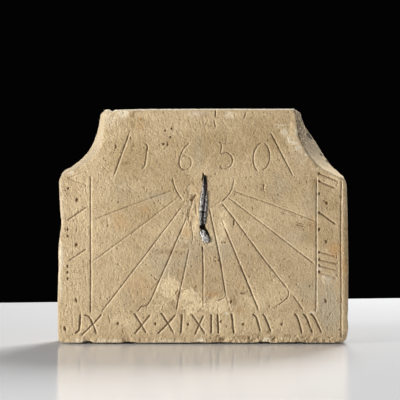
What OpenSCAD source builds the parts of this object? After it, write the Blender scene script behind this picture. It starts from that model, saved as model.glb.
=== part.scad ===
// Vertical wall dial: a carved sandstone slab with the root of an iron gnomon
// blade, leaded into a slot below the dial's centre. The slab stands on its base,
// the face looks along -Y, and the origin is the middle of the base.

/* [Slab] */
// Width of the slab across the face
slab_w = 450; // [400:1:520]
// Height of the slab from base to top
slab_h = 363; // [340:1:420]
// Thickness of the slab from face to back
slab_t = 70; // [55:1:110]
// Width of the worn edge on the left of the face
arris_left = 3; // [1:0.5:8]
// Width of the worn edge on the right of the face
arris_right = 7; // [1:0.5:8]

/* [Coves] */
// Radius of the left cove at the face
cove_left_r = 102; // [80:1:110]
// Radius of the right cove at the face
cove_right_r = 107; // [80:1:112]
// How far the left cove's centre lies outside the slab's side
cove_left_out = 27; // [15:1:40]
// How far the right cove's centre lies outside the slab's side
cove_right_out = 22; // [15:1:40]
// How far the left cove's centre lies below the top
cove_left_drop = 12; // [2:1:30]
// How far the right cove's centre lies below the top
cove_right_drop = 5; // [2:1:30]
// How much smaller each cove's radius is at the back
cove_splay = 12; // [2:1:20]

/* [Dial] */
// Latitude that the hour lines are laid out for, in degrees
latitude = 40.5; // [35:0.5:56]
// Distance of the dial's centre below the top
head_band = 106.5; // [95:0.5:125]
// Width of the bands of numerals at the sides
side_band = 50.5; // [46:0.5:60]
// Height of the band of numerals at the foot
foot_band = 50; // [46:0.5:60]
// Radius of the half circle at the dial's centre
hub_r = 48; // [40:1:60]
// Distance of the outer rule from the slab's right side
outer_rule_in = 12.5; // [10:0.5:14]

/* [Carving] */
// Width of the hour lines
line_w = 3; // [2:0.1:4]
// Depth of the hour lines
line_d = 1.7; // [1:0.1:3]
// Width of the ruled lines and of the date
rule_w = 2.2; // [1.5:0.1:3]
// Depth of the ruled lines and of the date
rule_d = 1.1; // [0.6:0.1:2]
// Height of the hour numerals
numeral_h = 29; // [24:0.5:30]
// Distance of the numerals from the inner rules
numeral_gap = 4.5; // [3:0.5:8]
// Distance between upright strokes of a numeral
stroke_pitch = 9.5; // [8:0.5:11]
// Width of a V or an X in a numeral
letter_w = 18; // [14:0.5:20]
// Radius of the dots between the numerals
dot_r = 1.9; // [1:0.1:3]
// Height of the date's digits
digit_h = 41; // [30:1:46]
// Height of the date's foot above the dial's centre
date_rise = 11; // [8:1:16]
// Distance between the date's digits
digit_pitch = 60; // [50:1:62]
// Distance of the slanting strokes beside the date from the middle, at their heads
date_half_w = 110; // [104:1:114]
// Run of the slanting strokes from head to foot
date_slant = 28; // [20:1:32]

/* [Gnomon] */
// Distance that the blade stands out of the face, broken off short; 86 is a whole blade
blade_reach = 2.5; // [2:0.5:86]
// Thickness of the blade
blade_t = 3.6; // [2.5:0.1:5]
// Height of the blade along the slot
blade_h = 76; // [60:1:95]
// Depth of the blade in the stone
blade_root = 27; // [20:1:40]
// Distance of the blade's upper end from the slot's
blade_top = 2; // [1:0.5:4]
// Lean of the slot, its top to the right, in degrees
slot_lean = 4.7; // [0:0.1:6]
// Distance of the slot's upper end to the right of the middle
slot_x = 5; // [0:0.2:7]
// Height of the slot's upper end above the dial's centre
slot_rise = 2.5; // [0:0.5:6]
// Distance of the slot's lower end below the blade's
slot_tail = 6; // [3:0.5:15]
// Width of the slot where lead fills both sides
slot_w = 13.6; // [11:0.2:16]
// Width of the slot's upper end
throat_w = 8.6; // [8:0.2:9]
// Length of the slot's narrow upper end
throat_len = 24; // [18:1:30]
// Length of the slot's narrowing lower end
toe_len = 14; // [8:1:18]
// How much each side of the slot draws in at its lower end
toe_in = 2; // [1:0.5:3]
// Depth of stone left under the blade in the slot
slot_floor = 2; // [1:0.5:5]
// Clearance of the lead and the blade in the slot
fit_gap = 0.1; // [0.05:0.05:0.3]
// How far the lead stands out of the face
lead_proud = 1.6; // [0.5:0.1:3]

/* [Lead foot] */
// Half the width of the lead foot's head
foot_r = 6; // [5:0.2:7]
// Radius of the crown across the head
foot_crown_r = 8; // [7.5:0.5:14]
// How far the crown stands out of the face
foot_proud = 4.5; // [3:0.5:6]
// Distance between the centres of the head's round ends
foot_len = 11; // [8:0.5:14]
// Lean of the foot, its lower end to the right, in degrees
foot_lean = 27; // [10:1:40]
// Depth of the foot in the stone
foot_root = 18; // [12:1:26]
// How far the foot's pocket is smaller than its head, all round
foot_lip = 0.5; // [0.3:0.1:1]
// Stone between the slot's lower end and the foot
foot_bridge = 1; // [0.8:0.1:3]
// Distance of the foot to the right of the slot's middle
foot_side = 2.8; // [0:0.2:4]

/* [Hidden] */
$fn = 64;
over = 1;
face_y = -slab_t / 2;
centre_z = slab_h - head_band;
half_dial = slab_w / 2 - side_band;
fall = centre_z - foot_band;
style_slope = tan(90 - latitude);
slot_top = [slot_x, centre_z + slot_rise];
slot_len = blade_h + slot_tail;
slot_d = blade_root + slot_floor;
throat_shift = 1.7;
throat_left = -throat_w / 2 - throat_shift;
throat_step = 5;
curve_share = 0.85;
overlap = 1;
foot_drop = slot_len + foot_bridge + foot_r;
dot_tip = 0.3;
outer_rule_foot = foot_band / 4;
// Share of a V's or an X's width that its strokes stand in from the sides
sign_inset = 0.12;
// Shares of the height of the date's digits, and the ends of the five's bowl in degrees
one_lean = 0.05;
flag_run = 0.1;
flag_drop = 0.08;
six_bowl = 0.22;
five_bowl = 0.3;
five_ends = [-130, 110];
zero_bulge = 0.31;
slant_head = 1.38;
// Share of the date's rise that its slanting strokes reach below it
slant_foot = 0.8;
hours = [
    [-6, "VI"], [-5, "VII"], [-4, "VIII"], [-3, "IX"], [-2, "X"], [-1, "XI"], [0, "XII"],
    [1, "I"], [2, "II"], [3, "III"], [4, "IIII"], [5, "V"], [6, "VI"]
];

// Sideways run of an hour line for each millimetre that it falls
function hour_run(h) = cos(latitude) * tan(15 * h);

// Point of the inner rules where an hour line ends
function hour_end(h) =
    abs(h) == 6 ? [sign(h) * half_dial, centre_z] :
    abs(hour_run(h)) * fall <= half_dial ? [hour_run(h) * fall, foot_band] :
    [sign(h) * half_dial, centre_z - half_dial / abs(hour_run(h))];

// Point of an hour line at a distance from the dial's centre
function hour_point(h, r) = [
    r * hour_run(h) / norm([1, hour_run(h)]),
    centre_z - r / norm([1, hour_run(h)])
];

// Width that a numeral's sign takes along its line of writing
function sign_w(s) = s == "I" ? stroke_pitch : letter_w;

// Distance from a numeral's start to its sign number i
function lead_in(word, i) = i == 0 ? 0 : lead_in(word, i - 1) + sign_w(word[i - 1]);

// One V-shaped cut from point a to point b of the face
module groove(a, b, w, d) {
    run = b - a;
    half = w / 2 * (1 + over / d);
    translate([a[0], face_y, a[1]])
        rotate([0, -atan2(run[1], run[0]), 0])
            rotate([90, 0, 90])
                linear_extrude(height = norm(run))
                    polygon([[-over, -half], [-over, half], [d, 0]]);
}

// One V-shaped cut along an arc of the face, anticlockwise from angle a0 to a1,
// a little shallower than a straight one
module arc_groove(c, r, a0, a1, w, straight_d) {
    d = straight_d * curve_share;
    half = w / 2 * (1 + over / d);
    translate([c[0], face_y, c[1]])
        rotate([90, 0, 0])
            rotate([0, 0, a0])
                rotate_extrude(angle = a1 - a0)
                    polygon([[r - half, over], [r + half, over], [r, -d]]);
}

// One punched dot
module dot(c) {
    translate([c[0], face_y - over, c[1]])
        rotate([-90, 0, 0])
            cylinder(h = over + dot_r, r1 = dot_r + over, r2 = dot_tip);
}

// A stroke of a numeral, from u0 at its head to u1 at its foot
module stroke(at, along, up, u0, u1) {
    head = at + along * u0;
    foot = at + along * u1 - up * numeral_h;
    groove(head, foot, line_w, line_d);
}

// A numeral whose head faces up and which is written along, about its middle
module numeral(word, middle, along, up) {
    total = lead_in(word, len(word));
    for (i = [0 : len(word) - 1]) {
        u = lead_in(word, i) - total / 2;
        w = sign_w(word[i]);
        inset = letter_w * sign_inset;
        if (word[i] == "I")
            stroke(middle, along, up, u + w / 2, u + w / 2);
        if (word[i] == "V") {
            stroke(middle, along, up, u + inset, u + w / 2);
            stroke(middle, along, up, u + w - inset, u + w / 2);
        }
        if (word[i] == "X") {
            stroke(middle, along, up, u + inset, u + w - inset);
            stroke(middle, along, up, u + w - inset, u + inset);
        }
    }
}

// The numeral of an hour, beside the end of its line
module hour_numeral(h, word) {
    end = hour_end(h);
    if (end[0] <= -half_dial)
        numeral(word, end - [numeral_gap, abs(h) == 6 ? letter_w / 2 : 0], [0, -1], [1, 0]);
    else if (end[0] >= half_dial)
        numeral(word, end + [numeral_gap, abs(h) == 6 ? -letter_w / 2 : 0], [0, 1], [-1, 0]);
    else
        numeral(word, end - [0, numeral_gap], [1, 0], [0, 1]);
}

// Dots between the numerals, half way between the ends of their lines
module numeral_dots() {
    mid = numeral_gap + numeral_h / 2;
    for (s = [-1, 1]) {
        for (h = [5, 6])
            dot([s * (half_dial + mid), (hour_end(h)[1] + hour_end(h - 1)[1]) / 2]);
        dot([s * (half_dial + mid), foot_band + numeral_h / 2]);
    }
    for (h = [-3 : 2])
        dot([(hour_end(h)[0] + hour_end(h + 1)[0]) / 2, foot_band - mid]);
}

// Hour lines from the half circle to the rules; noon starts under the lead foot
module hour_lines() {
    noon_top = slot_top[1] - foot_drop - foot_len - 2 * foot_r;
    for (h = [-5 : 5])
        if (h == 0)
            groove([0, noon_top], hour_end(0), line_w, line_d);
        else
            groove(hour_point(h, hub_r - overlap), hour_end(h), line_w, line_d);
    arc_groove([0, centre_z], hub_r, 180, 360, line_w, line_d);
    groove([hub_r + line_w, centre_z], [half_dial, centre_z], rule_w, rule_d);
}

// Rules beside the numerals
module rules() {
    for (s = [-1, 1])
        groove([s * half_dial, foot_band], [s * half_dial, centre_z], rule_w, rule_d);
    outer_x = slab_w / 2 - outer_rule_in;
    groove([outer_x, outer_rule_foot], [outer_x, centre_z - over], rule_w, rule_d);
}

// Digits of a made-up date; each is drawn about x, its foot at height z
module digit_one(x, z) {
    lean = digit_h * one_lean;
    flag = [x - digit_h * flag_run, z + digit_h * (1 - flag_drop)];
    groove([x + lean, z + digit_h], [x - lean, z], rule_w, rule_d);
    groove(flag, [x + lean, z + digit_h], rule_w, rule_d);
}

module digit_six(x, z) {
    bowl = digit_h * six_bowl;
    arc_groove([x, z + bowl], bowl, 0, 360, rule_w, rule_d);
    groove([x + bowl, z + digit_h], [x - bowl + overlap, z + bowl], rule_w, rule_d);
}

module digit_five(x, z) {
    bowl = digit_h * five_bowl;
    neck = [x - bowl / 2, z + digit_h];
    bowl_start = [x + bowl * cos(five_ends[1]), z + bowl * (1 + sin(five_ends[1])) - overlap];
    arc_groove([x, z + bowl], bowl, five_ends[0], five_ends[1], rule_w, rule_d);
    groove(neck, bowl_start, rule_w, rule_d);
    groove(neck, [x + bowl, z + digit_h], rule_w, rule_d);
}

module digit_zero(x, z) {
    bulge = digit_h * zero_bulge;
    r = (digit_h * digit_h / 4 + bulge * bulge) / (2 * bulge);
    sweep = asin(digit_h / 2 / r) + overlap;
    arc_groove([x - r + bulge, z + digit_h / 2], r, -sweep, sweep, rule_w, rule_d);
    arc_groove([x + r - bulge, z + digit_h / 2], r, 180 - sweep, 180 + sweep, rule_w, rule_d);
}

// The date between two slanting strokes
module date() {
    z = centre_z + date_rise;
    head_z = z + digit_h * slant_head;
    foot_z = z - date_rise * slant_foot;
    digit_one(-1.5 * digit_pitch, z);
    digit_six(-0.5 * digit_pitch, z);
    digit_five(0.6 * digit_pitch, z);
    digit_zero(1.5 * digit_pitch, z);
    for (s = [-1, 1])
        groove([s * date_half_w, head_z], [s * (date_half_w + date_slant), foot_z], rule_w, rule_d);
}

// A quarter-round cove that closes towards the back
module cove(x, z, r) {
    slope = cove_splay / slab_t;
    translate([x, face_y - over, z])
        rotate([-90, 0, 0])
            cylinder(
                h = slab_t + 2 * over,
                r1 = r + over * slope,
                r2 = r - cove_splay - over * slope,
                $fn = 96
            );
}

// A worn front edge down one side
module arris(s, w) {
    translate([s * slab_w / 2, face_y, -over])
        rotate([0, 0, 45])
            cube([w * sqrt(2), w * sqrt(2), 2 * slab_h + 4 * over], center = true);
}

// What follows places a flat outline against the face, its y axis down the slot
module in_slot(from, to) {
    translate([slot_top[0], face_y, slot_top[1]])
        rotate([0, slot_lean, 0])
            translate([0, to, 0])
                rotate([90, 0, 0])
                    mirror([0, 1, 0])
                        linear_extrude(height = to - from)
                            children();
}

// Outline of the slot: narrow above, wide where lead stands on both sides
module slot_outline(gap) {
    polygon([
        [throat_left + gap, gap],
        [throat_left + throat_w - gap, gap],
        [throat_left + throat_w - gap, throat_len],
        [slot_w / 2 - gap, throat_len + throat_step],
        [slot_w / 2 - gap, slot_len - toe_len],
        [slot_w / 2 - toe_in - gap, slot_len - gap],
        [-slot_w / 2 + toe_in + gap, slot_len - gap],
        [-slot_w / 2 + gap, slot_len - toe_len],
        [-slot_w / 2 + gap, throat_len + throat_step],
        [throat_left + gap, throat_len - throat_step]
    ]);
}

// Moves a child to the lead foot's upper end, its x axis down the foot
module at_foot() {
    translate([slot_top[0], face_y, slot_top[1]])
        rotate([0, slot_lean, 0])
            translate([foot_side, 0, -foot_drop])
                rotate([0, 90 - foot_lean - slot_lean, 0])
                    children();
}

// Straight-sided solid with round ends, from depth -top to depth root
module round_bar(r, top, root) {
    for (x = [0, foot_len])
        translate([x, -top, 0])
            rotate([-90, 0, 0])
                cylinder(h = top + root, r = r);
    translate([0, -top, -r])
        cube([foot_len, top + root, 2 * r]);
}

module dial_slab() {
    color([0.76, 0.66, 0.52])
        difference() {
            translate([-slab_w / 2, face_y, 0])
                cube([slab_w, slab_t, slab_h]);
            cove(-slab_w / 2 - cove_left_out, slab_h - cove_left_drop, cove_left_r);
            cove(slab_w / 2 + cove_right_out, slab_h - cove_right_drop, cove_right_r);
            arris(-1, arris_left);
            arris(1, arris_right);
            in_slot(-over, slot_d)
                slot_outline(0);
            at_foot()
                round_bar(foot_r - foot_lip, over, foot_root);
            hour_lines();
            rules();
            for (hour = hours)
                hour_numeral(hour[0], hour[1]);
            numeral_dots();
            date();
        }
}

module gnomon_blade() {
    reach = min(blade_reach, (blade_h - blade_top) * style_slope);
    style_fall = reach / style_slope;
    color([0.16, 0.13, 0.12])
        translate([slot_top[0], face_y, slot_top[1]])
            rotate([0, slot_lean, 0])
                translate([-blade_t / 2, 0, 0])
                    rotate([90, 0, 90])
                        linear_extrude(height = blade_t)
                            polygon([
                                [blade_root, -blade_top],
                                [0, -blade_top],
                                [-reach, -blade_top - style_fall],
                                [-reach, -blade_h],
                                [blade_root, -blade_h]
                            ]);
}

module lead_left() {
    color([0.66, 0.66, 0.65])
        in_slot(-lead_proud, slot_d - fit_gap)
            intersection() {
                slot_outline(fit_gap);
                translate([-slot_w, 2 * blade_top])
                    square([slot_w - blade_t / 2 - fit_gap, blade_h]);
            }
}

module lead_right() {
    color([0.52, 0.51, 0.5])
        in_slot(-lead_proud, slot_d - fit_gap)
            intersection() {
                slot_outline(fit_gap);
                translate([blade_t / 2 + fit_gap, throat_len])
                    square([slot_w, blade_h - throat_len]);
            }
}

module lead_foot() {
    color([0.68, 0.67, 0.66])
        at_foot() {
            round_bar(foot_r - foot_lip - fit_gap, over, foot_root - fit_gap);
            intersection() {
                round_bar(foot_r, foot_proud + over, 0);
                translate([-2 * foot_r, foot_crown_r - foot_proud, 0])
                    rotate([0, 90, 0])
                        cylinder(h = foot_len + 4 * foot_r, r = foot_crown_r);
            }
        }
}

dial_slab();
gnomon_blade();
lead_left();
lead_right();
lead_foot();
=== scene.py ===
"""Looks of a vertical wall dial: a carved sandstone slab with the leaded root of its gnomon.

Lengths in the classes are millimetres on the slab: x to the right and z up from the middle of
its base, y from the face to the back. They become metres where a mesh is made.
"""

import logging
import math
from dataclasses import dataclass
from enum import Enum
from typing import Iterable, Sequence

import bpy
import numpy as np
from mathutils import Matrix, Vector, kdtree
from mathutils.geometry import delaunay_2d_cdt


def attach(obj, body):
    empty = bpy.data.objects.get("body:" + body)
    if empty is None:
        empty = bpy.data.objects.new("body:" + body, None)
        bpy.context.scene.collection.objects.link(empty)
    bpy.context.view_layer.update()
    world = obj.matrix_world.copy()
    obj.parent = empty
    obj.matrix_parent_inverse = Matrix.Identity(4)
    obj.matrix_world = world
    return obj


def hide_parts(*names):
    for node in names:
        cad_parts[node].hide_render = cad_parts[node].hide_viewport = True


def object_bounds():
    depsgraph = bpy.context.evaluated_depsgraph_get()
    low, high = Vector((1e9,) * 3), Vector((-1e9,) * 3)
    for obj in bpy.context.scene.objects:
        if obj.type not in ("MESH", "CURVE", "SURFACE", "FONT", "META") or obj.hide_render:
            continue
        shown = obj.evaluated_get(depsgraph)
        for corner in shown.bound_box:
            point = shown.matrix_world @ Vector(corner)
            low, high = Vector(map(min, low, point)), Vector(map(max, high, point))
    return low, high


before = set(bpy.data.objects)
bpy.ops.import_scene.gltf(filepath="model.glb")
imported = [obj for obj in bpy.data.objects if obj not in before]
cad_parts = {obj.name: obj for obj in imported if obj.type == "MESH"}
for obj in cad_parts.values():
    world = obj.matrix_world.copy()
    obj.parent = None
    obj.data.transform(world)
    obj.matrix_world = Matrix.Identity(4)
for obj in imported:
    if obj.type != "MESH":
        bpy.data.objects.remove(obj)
CAD_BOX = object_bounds()
BODY = "root"
MM = 0.001
log = logging.getLogger("wall_dial")

Point = tuple[float, float]
Path = tuple[Point, ...]


def linear(code: str) -> tuple[float, float, float, float]:
    """Turns an sRGB hex colour into linear light.

    Args:
        code: six hex digits, red first.

    Returns:
        Red, green, blue and an alpha of 1.
    """
    parts = [int(code[i : i + 2], 16) / 255 for i in (0, 2, 4)]
    light = [c / 12.92 if c <= 0.04045 else ((c + 0.055) / 1.055) ** 2.4 for c in parts]
    return (light[0], light[1], light[2], 1.0)


def smooth(t: np.ndarray) -> np.ndarray:
    """Eases 0 to 1 with level ends; values outside are held."""
    t = np.clip(t, 0.0, 1.0)
    return t * t * (3 - 2 * t)


def ramp(value: np.ndarray, start: float, end: float) -> np.ndarray:
    """Goes evenly from 0 at the start to 1 at the end and is held outside."""
    return np.clip((value - start) / (end - start), 0, 1)


class Grain:
    """Repeatable smooth noise in space, for hand-worked and weathered surfaces."""

    def __init__(self, seed: int) -> None:
        """Draws the lattice of directions.

        Args:
            seed: number that fixes the pattern.
        """
        rng = np.random.default_rng(seed)
        self.order = np.tile(rng.permutation(256), 3)
        ways = rng.normal(size=(256, 3))
        self.ways = ways / np.linalg.norm(ways, axis=1, keepdims=True)

    def at(self, points: np.ndarray, pitch: float | Sequence[float]) -> np.ndarray:
        """Noise of about -1 to 1 at each point.

        Args:
            points: rows of x, y, z in millimetres.
            pitch: size of one lump in millimetres, or one size for each axis.

        Returns:
            One value a row.
        """
        p = points / np.asarray(pitch, float)
        cell = np.floor(p).astype(np.int64)
        f = p - cell
        cell &= 255
        u = f * f * f * (f * (f * 6 - 15) + 10)
        total = np.zeros(len(points))
        for corner in range(8):
            d = np.array([corner & 1, corner >> 1 & 1, corner >> 2 & 1])
            c = (cell + d) & 255
            key = self.order[self.order[self.order[c[:, 0]] + c[:, 1]] + c[:, 2]]
            dot = np.einsum("ij,ij->i", self.ways[key], f - d)
            total += dot * np.prod(np.where(d == 1, u, 1 - u), axis=1)
        return total * 1.6

    def mix(self, points: np.ndarray, *parts: tuple[float, float | Sequence[float]]) -> np.ndarray:
        """Sum of noises, each given by its strength and the size of its lumps in millimetres."""
        return sum(strength * self.at(points, pitch) for strength, pitch in parts)

    def layers(self, points: np.ndarray, pitch: float, count: int, keep: float = 0.5) -> np.ndarray:
        """Noise of several sizes laid over each other.

        Args:
            points: rows of x, y, z in millimetres.
            pitch: size of the largest lumps.
            count: number of layers, each half the size of the one before.
            keep: strength of a layer against the one before.

        Returns:
            One value a row, about -1 to 1.
        """
        total = np.zeros(len(points))
        reach = 0.0
        for i in range(count):
            total += self.at(points + 17.3 * i, pitch / 2**i) * keep**i
            reach += keep**i
        return total / reach * 1.3


def outward(loop: np.ndarray) -> np.ndarray:
    """Outward directions of a closed anticlockwise loop."""
    tangent = np.roll(loop, -2, axis=0) - np.roll(loop, 2, axis=0)
    out = np.stack([tangent[:, 1], -tangent[:, 0]], axis=1)
    return out / np.linalg.norm(out, axis=1, keepdims=True)


def shrink(loop: np.ndarray, distances: Sequence[float], step: float = 0.35) -> list[np.ndarray]:
    """Draws a closed loop in without letting it cross itself.

    Args:
        loop: rows of x, z, anticlockwise.
        distances: rising distances to draw it in by.
        step: distance of one small move, after which the loop is evened.

    Returns:
        One loop for each distance.
    """
    made = []
    now, done = loop.copy(), 0.0
    for distance in distances:
        while done < distance - 1e-9:
            move = min(step, distance - done)
            now = now - outward(now) * move
            for _ in range(3):
                now = now * 0.5 + (np.roll(now, 1, axis=0) + np.roll(now, -1, axis=0)) * 0.25
            done += move
        made.append(now.copy())
    return made


def spread(plane: np.ndarray, depth: float = 0.0) -> np.ndarray:
    """Lifts rows of x, z on the face to rows of x, y, z."""
    return np.stack([plane[:, 0], np.full(len(plane), depth), plane[:, 1]], axis=1)


def away_from(loop: np.ndarray, plane: np.ndarray) -> np.ndarray:
    """Distance of each point from the nearest point of a loop, all as x, z."""
    tree = kdtree.KDTree(len(loop))
    for i, (x, z) in enumerate(loop):
        tree.insert((x, z, 0), i)
    tree.balance()
    return np.array([tree.find((x, z, 0))[2] for x, z in plane])


class Finder:
    """Points of the face in order of x, so that those round a mark are found at once."""

    def __init__(self, plane: np.ndarray) -> None:
        """Sorts the points.

        Args:
            plane: rows of x, z.
        """
        self.plane = plane
        self.order = np.argsort(plane[:, 0], kind="stable")
        self.xs = plane[self.order, 0]

    def inside(self, low: Sequence[float], high: Sequence[float]) -> np.ndarray:
        """Indices of the points between two corners."""
        first, last = np.searchsorted(self.xs, (low[0], high[0]))
        near = self.order[first:last]
        z = self.plane[near, 1]
        return near[(z > low[1]) & (z < high[1])]


def fair_path(points: Sequence[Point], step: float, bend: bool) -> np.ndarray:
    """Walks a path at an even step.

    Args:
        points: its corners, or the points of a bend.
        step: distance between the samples in millimetres.
        bend: whether the path is one smooth bend through the points.

    Returns:
        Rows of x, z along the path.
    """
    p = np.asarray(points, float)
    if bend and len(p) > 2:
        knots = np.vstack([2 * p[0] - p[1], p, 2 * p[-1] - p[-2]])
        t = np.linspace(0, 1, 12, endpoint=False)[:, None]
        runs = []
        for a, b, c, d in zip(knots, knots[1:], knots[2:], knots[3:]):
            square = 2 * a - 5 * b + 4 * c - d
            cube = 3 * b - a - 3 * c + d
            runs.append(0.5 * (2 * b + (c - a) * t + square * t**2 + cube * t**3))
        p = np.vstack(runs + [p[-1:]])
    lengths = np.concatenate([[0], np.cumsum(np.linalg.norm(np.diff(p, axis=0), axis=1))])
    count = max(2, int(round(lengths[-1] / step)) + 1)
    at = np.linspace(0, lengths[-1], count)
    return np.stack([np.interp(at, lengths, p[:, i]) for i in (0, 1)], axis=1)


@dataclass(frozen=True)
class Cut:
    """One V-shaped cut of the chisel, along a line or a bend.

    Attributes:
        points: where it runs on the face.
        width: width between its lips.
        depth: depth of the V.
        bend: whether it bends smoothly through the points.
        taper: length over which each end rises to the surface.
        steep: how much steeper its left wall is, because the chisel leans.
        lip: how strongly its right wall, which faces the lamp, is kept free of the cut's dark tint and
            given a painted highlight, 0 to 1.
    """

    points: Path
    width: float = 2.8
    depth: float = 1.4
    bend: bool = False
    taper: float = 3.0
    steep: float = 0.36
    lip: float = 0.35

    def near(self, finder: Finder, margin: float) -> np.ndarray:
        """Indices of the points that may lie within a margin of the cut."""
        p = np.asarray(self.points)
        reach = self.width * 0.7 + margin
        return finder.inside(p.min(axis=0) - reach, p.max(axis=0) + reach)

    def offsets(self, plane: np.ndarray) -> tuple[np.ndarray, np.ndarray, np.ndarray]:
        """Measures points against the cut's middle line.

        Args:
            plane: rows of x, z.

        Returns:
            Distance from the line, distance to the nearer end along it, and which way the point
            lies from the line: -1 to its left, 1 to its right.
        """
        path = fair_path(self.points, 2.0, True) if self.bend else np.asarray(self.points, float)
        plane = plane + (self.steep * self.width * 0.3, 0)
        best = np.full(len(plane), 1e9)
        along = np.zeros(len(plane))
        right = np.zeros(len(plane))
        run = 0.0
        total = float(np.linalg.norm(np.diff(path, axis=0), axis=1).sum())
        for a, b in zip(path, path[1:]):
            leg = b - a
            size = float(np.linalg.norm(leg))
            t = np.clip((plane - a) @ leg / size**2, 0, 1)
            way = plane - a - t[:, None] * leg
            away = np.linalg.norm(way, axis=1)
            closer = away < best
            best = np.where(closer, away, best)
            along = np.where(closer, run + t * size, along)
            right = np.where(closer, way[:, 0], right)
            run += size
        return best, np.minimum(along, total - along), right / np.maximum(best, 0.2)

    def depth_at(self, plane: np.ndarray, grain: Grain) -> tuple[np.ndarray, np.ndarray]:
        """Depth of the cut under each point, with a hand's unevenness.

        Args:
            plane: rows of x, z.
            grain: noise that roughens it.

        Returns:
            Depth in millimetres, 0 outside the cut, and how much painted highlight the point gets
            on the right wall, which faces the lamp, 0 to 1.
        """
        away, end, right = self.offsets(plane)
        deep = np.zeros(len(plane))
        lit_wall_highlight = np.zeros(len(plane))
        close = np.nonzero(away < self.width * 0.8 + 0.8)[0]
        space = spread(plane[close], self.points[0][0] * 0.37)
        away, end, right = away[close], end[close], right[close]
        away = away + grain.mix(space, (0.3, 2.4), (0.3, 6.0))
        half = self.width / 2 * (1 + 0.16 * grain.at(space, 16.0)) * (1 + self.steep * right)
        rise = np.clip(0.35 + end / max(self.taper, 0.1), 0, 1)
        t = np.clip(1 - away / (half * (0.55 + 0.45 * rise)), 0, 1)
        lip = 0.08
        shape = (np.sqrt(t * t + lip * lip) - lip) / (math.sqrt(1 + lip * lip) - lip)
        deep[close] = self.depth * rise * (1 + 0.2 * grain.at(space, 11.0)) * shape
        # painted highlight on the right wall, which faces the lamp
        lit_wall_highlight[close] = smooth(right * 1.4) * smooth(t * 5) * smooth((0.85 - t) * 3) * self.lip
        return deep, lit_wall_highlight


@dataclass(frozen=True)
class Pit:
    """A punched dot, a lost grain or a chip: a small hollow.

    Attributes:
        at: its middle on the face.
        radius: half its width.
        depth: its depth.
        stretch: how much longer it is upright than wide.
    """

    at: Point
    radius: float
    depth: float
    stretch: float = 1.0

    def depth_at(self, plane: np.ndarray, grain: Grain) -> np.ndarray:
        """Depth of the hollow under each point."""
        space = spread(plane, 5.0)
        d = (plane - np.asarray(self.at)) / (self.radius, self.radius * self.stretch)
        away = np.linalg.norm(d, axis=1) + 0.28 * grain.at(space, max(self.radius, 1.2))
        return self.depth * smooth((1 - away) * 1.5)


@dataclass(frozen=True)
class Scar:
    """A flake lost from the skin of the stone: shallow, flat inside and ragged at its edge.

    Attributes:
        at: its middle on the face.
        size: half its width and half its height.
        depth: how much stone is gone.
        fresh: how much paler its floor is, 0 to 1.
    """

    at: Point
    size: Point
    depth: float
    fresh: float = 0.6

    def cover(self, plane: np.ndarray, grain: Grain) -> np.ndarray:
        """How far each point lies in the scar, 0 to 1."""
        space = spread(plane, 71.0)
        d = np.linalg.norm((plane - np.asarray(self.at)) / self.size, axis=1)
        ragged = grain.mix(space, (0.5, 13.0), (0.34, 5.5), (0.2, 2.6))
        return smooth((1 - d + ragged) * min(self.size) / 1.6 + 0.4)


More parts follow.
